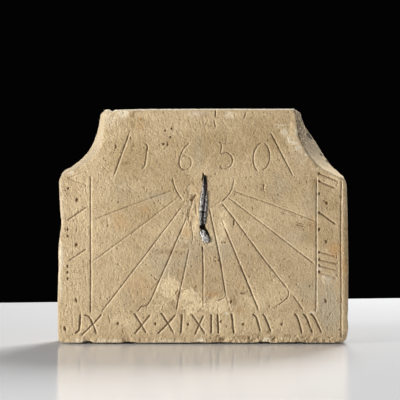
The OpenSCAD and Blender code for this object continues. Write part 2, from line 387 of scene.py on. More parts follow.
@dataclass(frozen=True)
class Numerals:
    """The hour numerals, cut stroke by stroke where the mason set them.

    Attributes:
        foot_width: width of the strokes along the foot.
        foot_depth: their depth.
        left_width: width of the strokes at the left.
        right_width: width of the strokes at the right.
        side_depth: depth of the strokes at both sides.
        serif: length of a serif.
        side_dot: radius of the dots at the sides.
        foot_dot: radius of the dots along the foot.
        corner_dot: place of the dot in the lower left corner.
        left_strokes: both ends and relative depth of each stroke at the left.
        right_strokes: the same at the right.
        left_serifs: the punched outer ends at the left.
        left_heads: the upright serifs at the left.
        right_heads: the punched inner ends at the right.
        right_feet: the upright serifs at the right.
        foot_strokes: the strokes along the foot.
        uprights: numbers of those that are cut deeper.
        dots: the dots between the numerals.
        nick: both ends of one small nick.
    """

    foot_width: float = 5.0
    foot_depth: float = 2.3
    left_width: float = 4.2
    right_width: float = 5.4
    side_depth: float = 1.8
    serif: float = 4.6
    side_dot: float = 3.4
    foot_dot: float = 2.7
    corner_dot: Point = (-212.5, 23)
    left_strokes: tuple[tuple[Point, Point, float], ...] = (
        ((-207.5, 254.5), (-178, 266.5), 0.5), ((-207.5, 254.5), (-179.5, 245), 0.5),
        ((-207.5, 238.5), (-181.5, 236), 0.3), ((-209.2, 189), (-178.7, 210), 0.95),
        ((-209.5, 189.5), (-179, 189), 0.4), ((-208.5, 176), (-179, 178), 0.35),
        ((-208.5, 165.5), (-179, 167), 0.4), ((-206.5, 127), (-179, 145.5), 1.0),
        ((-206.5, 127), (-179, 126.5), 0.35), ((-207.5, 118), (-180.5, 118), 0.5),
        ((-207.5, 109.5), (-180.5, 109.5), 0.55), ((-207.5, 100), (-180.5, 99.5), 0.5),
    )
    right_strokes: tuple[tuple[Point, Point, float], ...] = (
        ((179.5, 250), (205, 239), 1.0), ((179.5, 230.8), (205, 239.8), 0.4),
        ((179, 262), (209, 249.5), 1.0), ((179.5, 202.5), (205, 183.5), 1.25),
        ((179, 175.5), (205, 183.5), 0.25), ((179, 141), (205, 134), 0.9),
        ((179, 128.8), (207.6, 122.1), 0.9), ((179, 119.4), (207.6, 112.4), 0.85),
        ((179, 109.2), (206, 101.1), 0.65),
    )
    left_serifs: Path = (
        (-207.5, 239), (-208.5, 175.5), (-208.5, 165.5), (-208.5, 118.5), (-208.5, 109.5),
        (-208.5, 100),
    )
    left_heads: Path = (
        (-180, 244), (-180, 236), (-180, 177), (-180, 167), (-180.5, 126), (-180.5, 118), (-180.5, 109),
        (-180.5, 100),
    )
    right_heads: Path = (
        (179.2, 261.7), (179.4, 250.2), (179.4, 230.7), (179.4, 201.7), (179.4, 175.8), (179.4, 140.4),
        (179.4, 129.2), (179.4, 120.4), (179.4, 110.4),
    )
    right_feet: Path = ((207.5, 248), (206.5, 133.5), (207.5, 124), (207.5, 114), (207, 104))
    foot_strokes: tuple[Path, ...] = (
        ((-188.8, 45), (-189.3, 32), (-190.8, 20), (-196, 16)),
        ((-182, 43.7), (-175, 41), (-169.5, 30), (-163.7, 14.5)),
        ((-155.8, 44.8), (-166.3, 32.4), (-187, 12)), ((-106, 45.7), (-103, 42.7), (-87, 16)),
        ((-80.5, 44), (-91.5, 30.6), (-104.5, 14.7)), ((-64.7, 45.9), (-61.2, 42.9), (-44.7, 16.3)),
        ((-41.5, 44), (-53.5, 30.5), (-69, 15)), ((-31.7, 45), (-32.7, 30), (-33.7, 15.5)),
        ((-17, 44), (-14, 41), (4, 14.5)), ((1.2, 43), (-4.8, 29.4), (-11.8, 14)),
        ((13.2, 44.5), (13.2, 30), (13.2, 15)), ((22.7, 45), (23.7, 30), (24.2, 15)),
        ((44.5, 46), (46.2, 30), (47.9, 15)), ((77.5, 45), (82.7, 39.3), (88.7, 18)),
        ((92.8, 45), (97, 38.4), (105, 18)), ((141.6, 45), (145.3, 41.2), (150.3, 26), (152.8, 15.5)),
        ((154.8, 45.2), (158.8, 41.3), (164.8, 27), (169.3, 15.5)),
        ((166.7, 45.7), (171.7, 40.4), (178.7, 26), (183.2, 16)),
    )
    uprights: tuple[int, ...] = (0, 7, 10, 11, 12, 13, 14, 15, 16, 17)
    dots: Path = (
        (-194, 221.5), (-195, 152), (-195, 66.5), (190.5, 216.5), (190, 156.5), (189.5, 65.5),
        (-131, 30.5), (-73, 30), (-22.5, 29.5), (28, 33.5), (62.5, 29.5), (122, 29.5),
    )

    nick: tuple[Point, Point] = ((-145.5, 44), (-144, 36))

    def cuts(self) -> list[Cut]:
        """All strokes and serifs as cuts."""
        made = []
        sides = ((self.left_strokes, self.left_width), (self.right_strokes, self.right_width))
        for strokes, width in sides:
            made += [Cut((a, b), width, self.side_depth * keep, taper=2.0) for a, b, keep in strokes]
        for i, points in enumerate(self.foot_strokes):
            deep = self.foot_depth * (1.35 if i in self.uprights else 1.0)
            made.append(Cut(points, self.foot_width, deep, bend=True, taper=2.0))
        half = self.serif / 2
        for points, deep in ((self.left_heads, 0.45), (self.right_feet, 0.9)):
            made += [Cut(((x, z + half), (x, z - half)), 3.0, 1.9 * deep, taper=1.4) for x, z in points]
        made.append(Cut(self.nick, 2.4, 0.8))
        return made

    def punches(self) -> list[Pit]:
        """The dots between the numerals and the punched heads of their strokes."""
        made = [Pit(p, self.side_dot if abs(p[0]) > 180 else self.foot_dot, 2.1, 1.2) for p in self.dots]
        made.append(Pit(self.corner_dot, 3.0, 2.2, 1.5))
        made += [Pit(p, 2.3, 2.8, 1.3) for p in self.right_heads]
        return made + [Pit(p, 2.0, 2.6, 1.5) for p in self.left_serifs]


@dataclass(frozen=True)
class HourLines:
    """Hour lines, rules and the half circle at the dial's centre.

    Attributes:
        line_width: width of an hour line of strength 1.
        line_depth: its depth.
        rule_width: width of the straight rules.
        rule_depth: their depth.
        lines: strength and points of each hour line, or of each part of one.
        hub_left: left part of the half circle.
        hub_right: right part of the half circle.
        curls: small hooks beside the lines and at their ends.
        hub_foot: the faint part of the half circle beside the slot.
        stray_end: the bent end of a line at the lower left.
        noon_head: the deep start of the noon line.
        left_rule: the rule inside the numerals at the left.
        right_rule: the rule inside the numerals at the right.
        border: the rule outside the numerals at the right.
        scribed: width, depth and points of the faint setting-out lines.
    """

    line_width: float = 4.2
    line_depth: float = 1.75
    rule_width: float = 4.2
    rule_depth: float = 1.6
    lines: tuple[tuple[float, Path], ...] = (
        (0.75, ((-46, 236), (-103, 215.6), (-166, 191.5))),
        (0.65, ((-37.5, 225.5), (-100, 177), (-170.5, 125.5))),
        (0.85, ((-31.6, 211.3), (-91.7, 131.8), (-156, 48.4))),
        (0.95, ((-24.9, 193.8), (-54.1, 126.2), (-81.9, 62.8))),
        (0.85, ((-21, 146), (-31.3, 97), (-33.8, 86.5))), (1.2, ((-34, 88), (-40.8, 50))),
        (1.2, ((0.1, 139), (0.6, 100), (0.6, 89))), (0.6, ((0.6, 92), (0.8, 54))),
        (1.2, ((10.1, 208), (26.7, 128.5), (35.3, 75))), (0.45, ((35.5, 75), (42.8, 50.5))),
        (0.6, ((29.5, 191), (34, 178))), (1.1, ((33.5, 179), (57.6, 120.4))),
        (1.4, ((57, 122), (86.2, 50.4))), (1.0, ((29.5, 216), (49, 191.2), (91, 134), (130.4, 84.3))),
        (0.3, ((131.5, 83.5), (139.5, 73.3))), (0.95, ((138.5, 75), (155.2, 50.6))),
        (0.3, ((-82, 62.8), (-88, 50.5))), (0.85, ((38.1, 226), (104.9, 174.8), (172.5, 122.4))),
        (0.75, ((47.2, 235.2), (104.6, 215.1), (172.5, 189.3))),
    )
    hub_left: Path = ((-46.4, 255.2), (-44.9, 246.2), (-41.2, 236.6), (-37, 229), (-31, 221))
    hub_right: Path = ((48.2, 252), (46.2, 242.5), (43.4, 234.7), (37.6, 226), (30.2, 219))
    curls: tuple[Path, ...] = (
        ((35.3, 76), (34, 71.5), (28.5, 67.5), (20.5, 66)),
        ((130.4, 84.5), (132.5, 77), (130, 69.5), (122, 63), (115.4, 58.5)),
        ((-74.7, 103.5), (-73.5, 99.8), (-70.8, 98.6), (-67.5, 100)),
    )
    hub_foot: Path = ((30.5, 219.5), (22, 214.5), (10, 207.5))
    stray_end: Path = ((-81.9, 63.5), (-86.3, 58), (-95.5, 56.2), (-100.2, 49.5))
    noon_head: Path = ((-0.5, 149), (0, 140))
    left_rule: Path = ((-173, 258), (-173, 180), (-172.7, 120), (-173, 46.5))
    right_rule: Path = ((175.3, 256.5), (174.9, 180), (175, 110), (174.6, 49))
    border: Path = ((213.6, 252), (212.5, 180), (213.1, 90), (213.3, 9))
    scribed: tuple[tuple[float, float, Path], ...] = (
        (1.8, 0.35, ((10, 256.5), (80, 256.8), (150, 256.5))),
        (2.0, 0.35, ((-150, 50), (-60, 50.5), (20, 50), (110, 50.5), (172, 50))),
        (2.0, 0.25, ((-200, 32), (-200, 150), (-201, 215))),
    )

    def cuts(self) -> list[Cut]:
        """All lines as cuts."""
        made = [
            Cut(points, self.line_width * (0.8 + 0.2 * keep), self.line_depth * keep, taper=6.0)
            for keep, points in self.lines
        ]
        made += [Cut(p, 4.0, 1.7, bend=True, taper=5.0) for p in (self.hub_left, self.hub_right)]
        made += [Cut(p, 3.4, 2.1, bend=True, taper=9.0) for p in self.curls]
        made.append(Cut(self.hub_foot, 2.8, 0.9, bend=True))
        made.append(Cut(self.stray_end, 3.6, 1.9, taper=2.0))
        made.append(Cut(self.noon_head, 4.2, 3.0, taper=2.0))
        made.append(Cut(self.left_rule, self.rule_width, self.rule_depth))
        made.append(Cut(self.right_rule, self.rule_width, self.rule_depth, lip=0.7))
        made.append(Cut(self.border, self.rule_width, self.rule_depth * 1.1))
        made += [Cut(points, width, depth) for width, depth, points in self.scribed]
        return made


@dataclass(frozen=True)
class DateRow:
    """A made-up number at the head of the dial, between two slanting strokes.

    Attributes:
        width: width of its strokes.
        depth: their depth.
        frame_width: width of the slanting strokes.
        frame_depth: their depth.
        frames: the slanting strokes.
    """

    width: float = 4.0
    depth: float = 1.75
    frame_width: float = 4.6
    frame_depth: float = 2.0
    frames: tuple[Path, ...] = (
        ((-113.1, 324.6), (-125.4, 290.8), (-137, 258.5)),
        ((104.6, 325), (121, 293), (138.9, 258.6)),
    )
    one: Path = ((-89, 308), (-85.5, 304), (-87, 290), (-89.5, 274), (-93, 269.5))
    six_stem: Path = ((-20, 309.5), (-29, 300), (-35, 288), (-36.5, 278), (-33, 269.5), (-25, 267.5))
    six_bowl: Path = ((-35.5, 284), (-28, 289), (-20.5, 286.5), (-17.5, 278.5), (-20, 271), (-25, 267.5))
    five_top: Path = ((29.5, 308), (38, 308.5), (49.5, 310))
    five_stem: Path = ((29.5, 308), (27.5, 292.5))
    five_bowl: Path = ((27.5, 291.5), (38, 294), (45, 287), (45.5, 278), (39, 270.5), (27, 270))
    zero_left: Path = ((90.5, 309.5), (83, 303), (78.5, 292), (78, 281), (80.5, 271.5), (84.5, 266))
    zero_right: Path = ((96, 309), (101, 300), (103.5, 289), (102, 279), (97.5, 271), (93, 267.5))

    def cuts(self) -> list[Cut]:
        """All strokes as cuts."""
        made = [Cut(p, self.frame_width, self.frame_depth, taper=8.0) for p in self.frames]
        for points, keep in (
            (self.one, 1.0),
            (self.six_stem, 0.95),
            (self.six_bowl, 0.7),
            (self.five_top, 0.6),
            (self.five_stem, 0.9),
            (self.five_bowl, 0.95),
            (self.zero_left, 1.0),
            (self.zero_right, 1.05),
        ):
            made.append(Cut(points, self.width, self.depth * keep, bend=True, taper=4.0))
        return made


@dataclass(frozen=True)
class Knocks:
    """Lost grains, chisel slips and flakes that age and handling left on the face.

    Attributes:
        pits: x, z, radius, depth and upright stretch of each pit that shows singly.
        slips: both ends, width and depth of each slip of the chisel.
        scars: places where the skin has flaked off.
        scattered: number of small pits over the whole face.
        chipped: number of chips along the foot.
        seed: number that fixes both scatters.
    """

    pits: tuple[tuple[float, float, float, float, float], ...] = (
        (19.5, 133, 1.8, 1.4, 1.0), (-84, 144, 1.3, 1.0, 1.0), (-77, 141, 1.2, 0.9, 1.0),
        (-69, 145, 1.4, 1.0, 1.0), (-62, 140, 1.3, 1.0, 1.2), (-55, 143, 1.2, 0.9, 1.0),
        (-47, 139, 1.5, 1.1, 0.8), (-40, 141, 1.3, 1.0, 1.0), (-33, 138, 1.4, 1.1, 0.8),
        (-28, 142, 1.2, 0.9, 1.0), (19.5, 127, 1.8, 1.4, 1.0), (25.3, 129, 2.2, 1.8, 1.4),
        (43.6, 64, 2.4, 1.8, 1.5), (38.5, 90, 2.0, 1.0, 0.8), (72, 103, 1.9, 1.5, 1.0),
        (133.7, 102.5, 1.9, 1.2, 1.0), (165, 88.6, 2.0, 1.4, 1.1), (121.6, 67.6, 2.0, 1.2, 1.0),
        (103, 57, 1.5, 1.2, 1.6), (50, 72, 2.6, 0.8, 1.2), (-58, 328, 2.2, 2.2, 1.0),
        (-48, 331, 2.2, 2.2, 1.0), (-50, 318, 2.2, 2.2, 1.0), (-60.5, 307.5, 2.8, 2.6, 0.8),
        (-54.5, 306.5, 2.0, 2.4, 1.8), (-134, 303, 2.2, 1.8, 2.4), (59.5, 230, 1.8, 1.3, 1.0),
        (76.6, 209, 1.6, 1.1, 1.5), (95, 181.5, 1.8, 1.2, 1.0), (153.3, 194.6, 2.0, 1.4, 1.0),
        (160, 146, 1.6, 1.1, 1.0), (-68.5, 344.5, 1.4, 0.8, 1.0), (-117, 278.5, 1.8, 1.0, 0.7),
        (-123, 277, 1.6, 1.0, 0.7), (-132, 271.5, 2.2, 1.0, 2.2), (-149, 282, 1.5, 1.1, 1.0),
        (-90.5, 302, 1.5, 0.9, 1.0), (-68, 219.5, 1.5, 0.9, 1.0), (-96, 233, 1.4, 0.9, 1.0),
        (-90, 240, 2.0, 1.0, 1.6), (-86, 235, 1.6, 1.0, 1.2), (-98, 226.5, 1.5, 1.1, 1.0),
        (-74, 216, 1.5, 1.1, 1.0), (-65, 216, 1.4, 0.9, 1.0), (-62, 205.5, 1.6, 0.9, 0.6),
        (-72, 163, 1.3, 0.9, 1.0), (-66, 161, 1.4, 0.9, 1.0), (-130, 218, 2.0, 1.3, 1.0),
        (29.5, 155.5, 1.7, 1.5, 0.8), (34, 155, 1.8, 1.6, 0.8), (26.5, 310, 2.2, 1.9, 1.0),
        (-130, 122, 2.6, 0.9, 1.0), (-124, 115, 2.2, 0.9, 1.0), (58, 191, 1.6, 1.0, 1.0),
        (139, 197, 1.5, 0.9, 1.0), (148, 158, 1.3, 0.8, 1.0), (120, 120, 1.4, 0.8, 1.0),
        (220, 86, 1.4, 1.2, 1.0), (221, 128, 1.4, 1.2, 1.0), (27, 272, 2.2, 1.3, 1.4),
        (-17, 221, 3.2, 1.8, 1.0),
    )
    slips: tuple[tuple[Point, Point, float, float], ...] = (
        ((94.5, 246.5), (93.4, 235.5), 5.0, 1.7), ((48.4, 191), (47.6, 181.5), 4.8, 3.0),
        ((-9.2, 230), (-15.5, 222.5), 6.0, 1.8), ((-15.5, 222.5), (-17.5, 212), 3.6, 1.5),
        ((-17.5, 212), (-21, 203), 3.8, 1.5), ((-21, 203), (-21.6, 189.5), 3.4, 1.2),
        ((-18.5, 187), (-14.8, 164), 3.4, 1.2), ((-14.8, 164), (-17.1, 153), 3.0, 1.0),
        ((-11, 214), (-9.5, 196), 3.0, 1.1), ((-14.6, 248.9), (-12.3, 242.7), 2.6, 1.3),
        ((-31.3, 80.9), (-22.5, 84.1), 3.0, 0.9), ((-22.5, 84.1), (-12, 84.1), 2.8, 0.8),
        ((-12, 84.1), (-1.5, 88.6), 2.6, 0.6), ((-36.5, 84), (-44, 73), 3.6, 0.9),
        ((-44, 73), (-53, 66), 3.0, 0.7), ((19.5, 360), (19.5, 349), 3.4, 1.9),
        ((17, 345), (19.5, 333), 3.0, 1.7), ((67, 358), (64, 347), 3.6, 1.6),
        ((0, 349), (1.5, 336), 2.6, 0.8), ((-46, 341), (-44.5, 326), 2.4, 0.7),
        ((30, 343), (38, 331), 2.4, 0.7), ((-14.5, 343), (-13.5, 330), 2.0, 0.5),
        ((145, 187), (157, 183), 2.6, 1.4), ((145, 183), (158, 179.5), 2.6, 1.4),
        ((148, 179), (157, 176), 2.6, 1.3), ((152, 189), (149, 176), 2.2, 0.7),
        ((121, 203), (129, 199.5), 2.4, 1.1), ((123, 199), (127, 204), 2.4, 1.1),
        ((197.7, 48), (194.5, 41), 2.6, 1.2), ((194.5, 41), (191.5, 35.5), 2.4, 1.0),
        ((59.5, 76), (67.5, 77), 3.2, 1.8), ((-154, 272), (-145.5, 265), 2.6, 0.9),
        ((-16, 256), (-12, 248), 2.0, 0.6), ((-23, 206), (-24, 190), 2.6, 0.9),
        ((-18, 214), (-23, 204), 2.6, 0.8), ((-13, 181), (-16, 164), 2.4, 0.8),
        ((-25, 192), (-24, 180), 2.4, 0.6), ((-128, 60), (-126, 40), 2.0, 0.4),
    )
    scars: tuple[Scar, ...] = (
        Scar((-17, 205), (8, 34), 0.9, 0.35),
        Scar((-14, 225), (5, 6), 1.3, 0.0),
        Scar((-27, 180), (7, 24), 0.6, 0.3),
        Scar((-57, 78), (17, 20), 0.5, 0.0),
        Scar((-18, 67), (16, 16), 0.7, 0.0),
        Scar((21, 62), (19, 11), 0.45, 0.0),
        Scar((-127, 37), (19, 9), 0.35, 0.5),
        Scar((110, 78), (16, 22), 0.35, 0.3),
        Scar((134, 318), (7, 22), 0.35, 0.4),
        Scar((60, 352), (26, 6), 0.4, 0.2),
    )
    scattered: int = 460
    chipped: int = 34
    seed: int = 23

    def hollows(self) -> list[Pit]:
        """The pits that show singly, and a scatter of small ones."""
        rng = np.random.default_rng(self.seed)
        made = [Pit((x, z), r, d, s) for x, z, r, d, s in self.pits]
        for _ in range(self.scattered):
            at = (float(rng.uniform(-220, 220)), float(rng.uniform(4, 358)))
            radius = float(rng.uniform(0.7, 1.5))
            made.append(Pit(at, radius, float(rng.uniform(0.5, 1.2)) ** 2, float(rng.uniform(0.8, 1.8))))
        for _ in range(self.chipped):
            at = (float(rng.uniform(-1, 1)) ** 3 * 90 + 110, float(rng.uniform(2, 12)))
            made.append(Pit(at, float(rng.uniform(1.6, 5.0)), float(rng.uniform(0.5, 1.3)), 0.6))
        return made

    def cuts(self) -> list[Cut]:
        """The slips of the chisel."""
        return [Cut((a, b), w, d, taper=2.0, lip=0.15) for a, b, w, d in self.slips]


@dataclass(frozen=True)
class GnomonSeat:
    """Where the blade is leaded in: the slot under the dial's centre and the foot's pocket.

    Its own axes run down the slot, which leans, and across it to the right. The edges of slot
    and blade are given at the stations down the slot.

    Attributes:
        top: x, z of the slot's upper end.
        lean: angle between the slot and the upright.
        length: length of the slot.
        depth: depth of the slot.
        stations: distances down the slot.
        left: the slot's left edge.
        blade_left: the blade's left side.
        blade_right: the blade's right side.
        right: the slot's right edge.
        sliver: both ends of the gap at the left of the slot's upper end.
        crack: the crack at the right of its lower end.
        foot_drop: distance of the pocket's upper end down the slot.
        foot_side: its distance across.
        foot_lean: angle between the pocket and the upright.
        foot_length: distance between the middles of its round ends.
        foot_radius: their radius.
    """

    top: Point = (5.0, 259.0)
    lean: float = math.radians(4.7)
    length: float = 82.5
    depth: float = 13.0
    stations: tuple[float, ...] = (0, 3, 8, 14, 20, 26, 34, 46, 61, 72, 82)
    left: tuple[float, ...] = (-2.9, -3.5, -4.1, -4.3, -4.6, -5.3, -6.0, -6.4, -5.6, -4.3, -3.4)
    blade_left: tuple[float, ...] = (-2.4, -3.3, -3.1, -2.5, -1.7, -0.9, -0.6, -1.0, -2.0, -1.6, -1.3)
    blade_right: tuple[float, ...] = (-0.9, 0.3, 1.2, 2.1, 2.4, 2.4, 2.2, 1.9, 1.6, 2.0, 1.8)
    right: tuple[float, ...] = (-0.6, 0.6, 1.5, 2.5, 2.8, 3.4, 4.8, 6.3, 6.3, 5.4, 4.0)
    sliver: tuple[Point, Point] = ((0.8, 263), (-1.0, 251))
    crack: Path = ((2.6, 179), (6.2, 173), (9.6, 166))
    foot_drop: float = 89.0
    foot_side: float = 2.8
    foot_lean: float = math.radians(27)
    foot_length: float = 11.0
    foot_radius: float = 6.0

    def local(self, plane: np.ndarray) -> np.ndarray:
        """Turns x, z on the face to distances across and down the slot."""
        d = plane - np.asarray(self.top)
        c, s = math.cos(self.lean), math.sin(self.lean)
        across = d[:, 0] * c - d[:, 1] * s
        down = -d[:, 0] * s - d[:, 1] * c
        return np.stack([across, down], axis=1)

    def place(self, across: np.ndarray, out: np.ndarray | float, down: float, face_y: float) -> np.ndarray:
        """Turns distances across, out of and down the slot to x, y, z."""
        c, s = math.cos(self.lean), math.sin(self.lean)
        x = self.top[0] + across * c - down * s
        z = self.top[1] - across * s - down * c
        return np.stack([x, np.full(len(across), face_y) - out, z], axis=1)

    def sides(self, down: np.ndarray) -> tuple[np.ndarray, np.ndarray]:
        """Left and right edge of the slot at distances down it."""
        return np.interp(down, self.stations, self.left), np.interp(down, self.stations, self.right)

    def blade_sides(self, down: np.ndarray) -> tuple[np.ndarray, np.ndarray]:
        """Left and right side of the blade at distances down the slot."""
        sides = (self.blade_left, self.blade_right)
        return tuple(np.interp(down, self.stations, side) for side in sides)

    def foot_ends(self) -> tuple[np.ndarray, np.ndarray]:
        """Middle of the foot's upper and lower round end, as x, z."""
        c, s = math.cos(self.lean), math.sin(self.lean)
        aside = self.foot_side * c - self.foot_drop * s
        below = self.foot_side * s + self.foot_drop * c
        top = np.asarray(self.top) + (aside, -below)
        way = np.array([math.sin(self.foot_lean), -math.cos(self.foot_lean)])
        return top, top + way * self.foot_length

    def depth_at(self, plane: np.ndarray, grain: Grain) -> np.ndarray:
        """Depth of slot and pocket under each point of the face."""
        across, down = self.local(plane).T
        left, right = self.sides(down)
        rough = 0.35 * grain.at(spread(plane), 3.0)
        inside = np.minimum.reduce([across - left, right - across, down, self.length - down]) + rough
        slot = self.depth * smooth(inside / 1.1 + 0.25)
        a, b = self.foot_ends()
        leg = b - a
        t = np.clip((plane - a) @ leg / (leg @ leg), 0, 1)
        away = np.linalg.norm(plane - a - t[:, None] * leg, axis=1)
        pocket = self.depth * 0.6 * smooth((self.foot_radius - 0.2 - away) / 1.0 + 0.2)
        bridge = np.hypot(across - 2.4, (down - self.length) / 1.6) + 0.5 * rough
        crumbled = 5.0 * smooth((4.6 - bridge) / 1.4)
        gap, _ = Cut(self.sliver, 3.0, 6.0, taper=5.0).depth_at(plane, grain)
        crack, _ = Cut(self.crack, 3.0, 7.0, taper=3.0).depth_at(plane, grain)
        return np.maximum.reduce([slot, pocket, crumbled, gap, crack])


class Tone(Enum):
    """Ways in which the stone's colour drifts over the face; the stain patches low along the foot's right
    half are also painted shade of the undercut foot.
    """

    PALE = "pale"
    GREY = "grey"
    RUST = "rust"
    DUSK = "dusk"
    CREAM = "cream"
    STAIN = "stain"


@dataclass(frozen=True)
class Patch:
    """A drift of colour.

    Attributes:
        at: its middle.
        size: half its width and half its height.
        strength: 0 to 1.
        soft: width of its edge as a share of its size.
        torn: how ragged its outline is.
    """

    at: Point
    size: Point
    strength: float
    soft: float = 1.0
    torn: float = 1.0


PATCHES: dict[Tone, tuple[Patch, ...]] = {
    Tone.PALE: (
        Patch((-146, 346), (20, 15), 0.45), Patch((119, 336.4), (10, 1.5), 0.6, 0.6, 1.5),
        Patch((115, 333), (5, 1.4), 0.5, 0.6, 1.5), Patch((125, 325), (6, 7), 0.7, 0.8, 1.2),
        Patch((133, 315), (5, 7), 0.75, 0.6, 2.0), Patch((139, 309.5), (8, 4), 0.75, 0.6, 2.0),
        Patch((146, 301), (5, 5), 0.75, 0.6, 1.8), Patch((158.5, 291), (4, 2.5), 0.95, 0.5, 1.1),
        Patch((144, 325), (2.6, 10), 0.7, 0.6, 1.0), Patch((41, 353), (8, 7), 0.5, 0.8, 1.4),
        Patch((-8, 354), (20, 6), 0.45, 0.8, 1.4), Patch((-124, 354), (10, 8), 0.85, 0.7, 1.3),
        Patch((190, 99), (11, 10), 0.45, 0.9, 1.6), Patch((186, 103), (3, 5), 0.9, 0.6, 1.3),
        Patch((180, 116), (6, 6), 0.4, 0.9), Patch((-190, 4), (18, 3), 0.6, 0.8, 1.4),
        Patch((-140, 4), (24, 3), 0.6, 0.8, 1.4), Patch((-60, 3.5), (34, 3), 0.5, 0.8, 1.4),
        Patch((-220, 205), (6, 60), 0.5), Patch((-221, 130), (6, 60), 0.8),
        Patch((-208, 264), (12, 6), 0.6), Patch((36.7, 45.9), (3, 2.5), 1.0, 0.4),
        Patch((168, 47), (6, 3), 0.6, 0.5), Patch((-4, 5), (9, 3), 0.8, 0.6, 1.2),
        Patch((97, 5), (9, 4), 0.8, 0.6),
    ),
    Tone.GREY: (
        Patch((-8, 152), (60, 22), 0.4), Patch((-38, 126), (40, 13), 0.5, 0.8),
        Patch((34, 140), (12, 14), 0.55, 0.4), Patch((-71, 226), (24, 8), 0.5),
        Patch((118, 240), (18, 20), 0.5), Patch((150, 290), (16, 18), 0.4),
        Patch((145, 163), (22, 16), 0.4), Patch((168, 84), (26, 22), 0.5),
        Patch((-42, 137), (12, 10), 0.5, 0.6), Patch((-60, 128), (34, 34), 0.45),
        Patch((-20, 135), (22, 30), 0.4), Patch((196, 55), (20, 46), 0.85, 0.7),
        Patch((-8, 295), (10, 30), 0.45), Patch((170, 215), (20, 30), 0.35),
        Patch((-125, 235), (26, 22), 0.3), Patch((-120, 70), (9, 14), 0.3, 0.5),
    ),
    Tone.RUST: (
        Patch((14, 76), (15, 6), 0.5, 0.6), Patch((58, 50), (9, 8), 0.4, 0.8),
        Patch((55, 90), (9, 6), 0.35, 0.8), Patch((-96, 346), (3.5, 3.0), 0.9, 0.6),
        Patch((-127, 187), (13, 12), 0.5, 0.9, 1.4), Patch((-87, 205), (10, 8), 0.55, 0.9, 1.4),
        Patch((-25, 170), (9, 12), 0.5), Patch((-12, 237), (4, 5), 0.4),
        Patch((203, 145), (13, 14), 0.85), Patch((218, 118), (7, 20), 0.6),
        Patch((170, 185), (10, 16), 0.3), Patch((-97, 337), (7, 8), 0.5),
        Patch((-100, 90), (30, 24), 0.25), Patch((-45, 140), (20, 14), 0.2),
    ),
    Tone.DUSK: (
        Patch((-52, 141), (34, 4.5), 0.5, 0.8, 1.8), Patch((-84, 182), (6, 2), 0.6, 0.8),
        Patch((-121, 235), (6, 4), 0.5, 0.8, 1.4), Patch((-194, 221.5), (6, 5), 0.5, 0.8, 1.4),
        Patch((-195, 152), (6, 5), 0.5, 0.8, 1.4), Patch((-131, 250), (14, 16), 0.6),
        Patch((176, 244), (13, 26), 0.7), Patch((203, 216), (12, 16), 0.7),
        Patch((172, 172), (32, 24), 0.85), Patch((66, 208), (34, 26), 0.3),
        Patch((222, 140), (5, 80), 0.7), Patch((-108, 285), (52, 50), 0.95),
        Patch((-60, 262), (50, 45), 0.7), Patch((10, 305), (80, 34), 0.85),
        Patch((96, 312), (50, 44), 0.85), Patch((-106, 338), (34, 16), 0.7),
        Patch((-110, 215), (60, 34), 0.5), Patch((120, 235), (60, 26), 0.45),
        Patch((182, 220), (24, 48), 0.8), Patch((190, 165), (20, 30), 0.6),
        Patch((60, 235), (30, 18), 0.35),
    ),
    Tone.CREAM: (
        Patch((-122, 354), (13, 6), 0.7, 0.4), Patch((-52, 84), (18, 19), 0.95, 0.16),
        Patch((-18, 65), (17, 18), 1.0, 0.14), Patch((22, 59), (22, 13), 0.9, 0.25),
        Patch((-66, 62), (13, 12), 0.6, 0.6), Patch((30, 182), (9, 28), 0.9, 0.5),
        Patch((-14, 188), (10, 26), 0.7, 0.6), Patch((150, 295), (5, 4), 0.7, 0.5, 1.3),
        Patch((14, 163), (13, 12), 0.8, 0.6), Patch((-70, 30), (95, 24), 0.4),
        Patch((60, 34), (90, 20), 0.3), Patch((84, 66), (28, 14), 0.5, 0.5),
        Patch((-4, 44), (9, 5), 0.6, 0.6), Patch((42, 8), (6, 4), 0.7, 0.6),
        Patch((124, 4), (6, 4), 0.7, 0.6), Patch((148, 8), (8, 5), 0.6, 0.6),
        Patch((110, 80), (26, 30), 0.5, 0.9), Patch((-120, 36), (22, 9), 0.5, 0.6),
        Patch((-72, 46), (26, 8), 0.4),
    ),
    Tone.STAIN: (
        Patch((-109, 352), (5, 5), 0.8, 0.6), Patch((2, 352), (10, 5), 0.5, 0.8),
        Patch((-48, 64), (4.5, 4.5), 0.5, 0.4, 0.7), Patch((-40, 77), (4, 6), 0.8, 0.4),
        Patch((46, 64), (6, 6), 0.7, 0.5), Patch((-52, 140), (32, 3.5), 0.28, 0.8, 1.6),
        Patch((-28, 150), (6, 4), 0.5, 0.8), Patch((-15, 225), (6, 6), 0.8, 0.6),
        Patch((-22, 200), (4, 13), 0.7, 0.6), Patch((-102, 359), (8, 5), 0.6, 0.7),
        Patch((63, 77.5), (6, 2.4), 0.7, 0.6, 1.3), Patch((41, 90), (5, 1.4), 0.6, 0.6, 1.3),
        Patch((-12, 212), (3, 19), 0.55, 0.9, 1.3), Patch((-18, 189), (3, 17), 0.55, 0.9, 1.3),
        Patch((-36, 213), (8, 7), 0.5, 0.8), Patch((-20, 186), (7, 12), 0.5, 0.9),
        Patch((170, 245), (11, 25), 0.25), Patch((172, 155), (34, 11), 0.22),
        # the stain patches low along the right half of the foot darken its lowest band: stain there, and
        # painted shade of the undercut foot
        Patch((203, 210), (12, 13), 0.25), Patch((22, 7), (12, 4), 0.6, 0.6, 1.2),
        Patch((64, 9), (13, 4), 0.6, 0.6, 1.2), Patch((86, 12), (4, 2.5), 0.7, 0.6),
        Patch((100, 17), (4, 2.5), 0.7, 0.6), Patch((130, 12), (6, 2.5), 0.8, 0.6),
        Patch((152, 9), (5, 2.5), 0.7, 0.6), Patch((-118, 278), (9, 4), 0.5, 0.9),
        Patch((-112, 314), (3, 6), 0.5, 0.9), Patch((-95.5, 344.5), (2.5, 3), 0.8, 0.9),
    ),
}


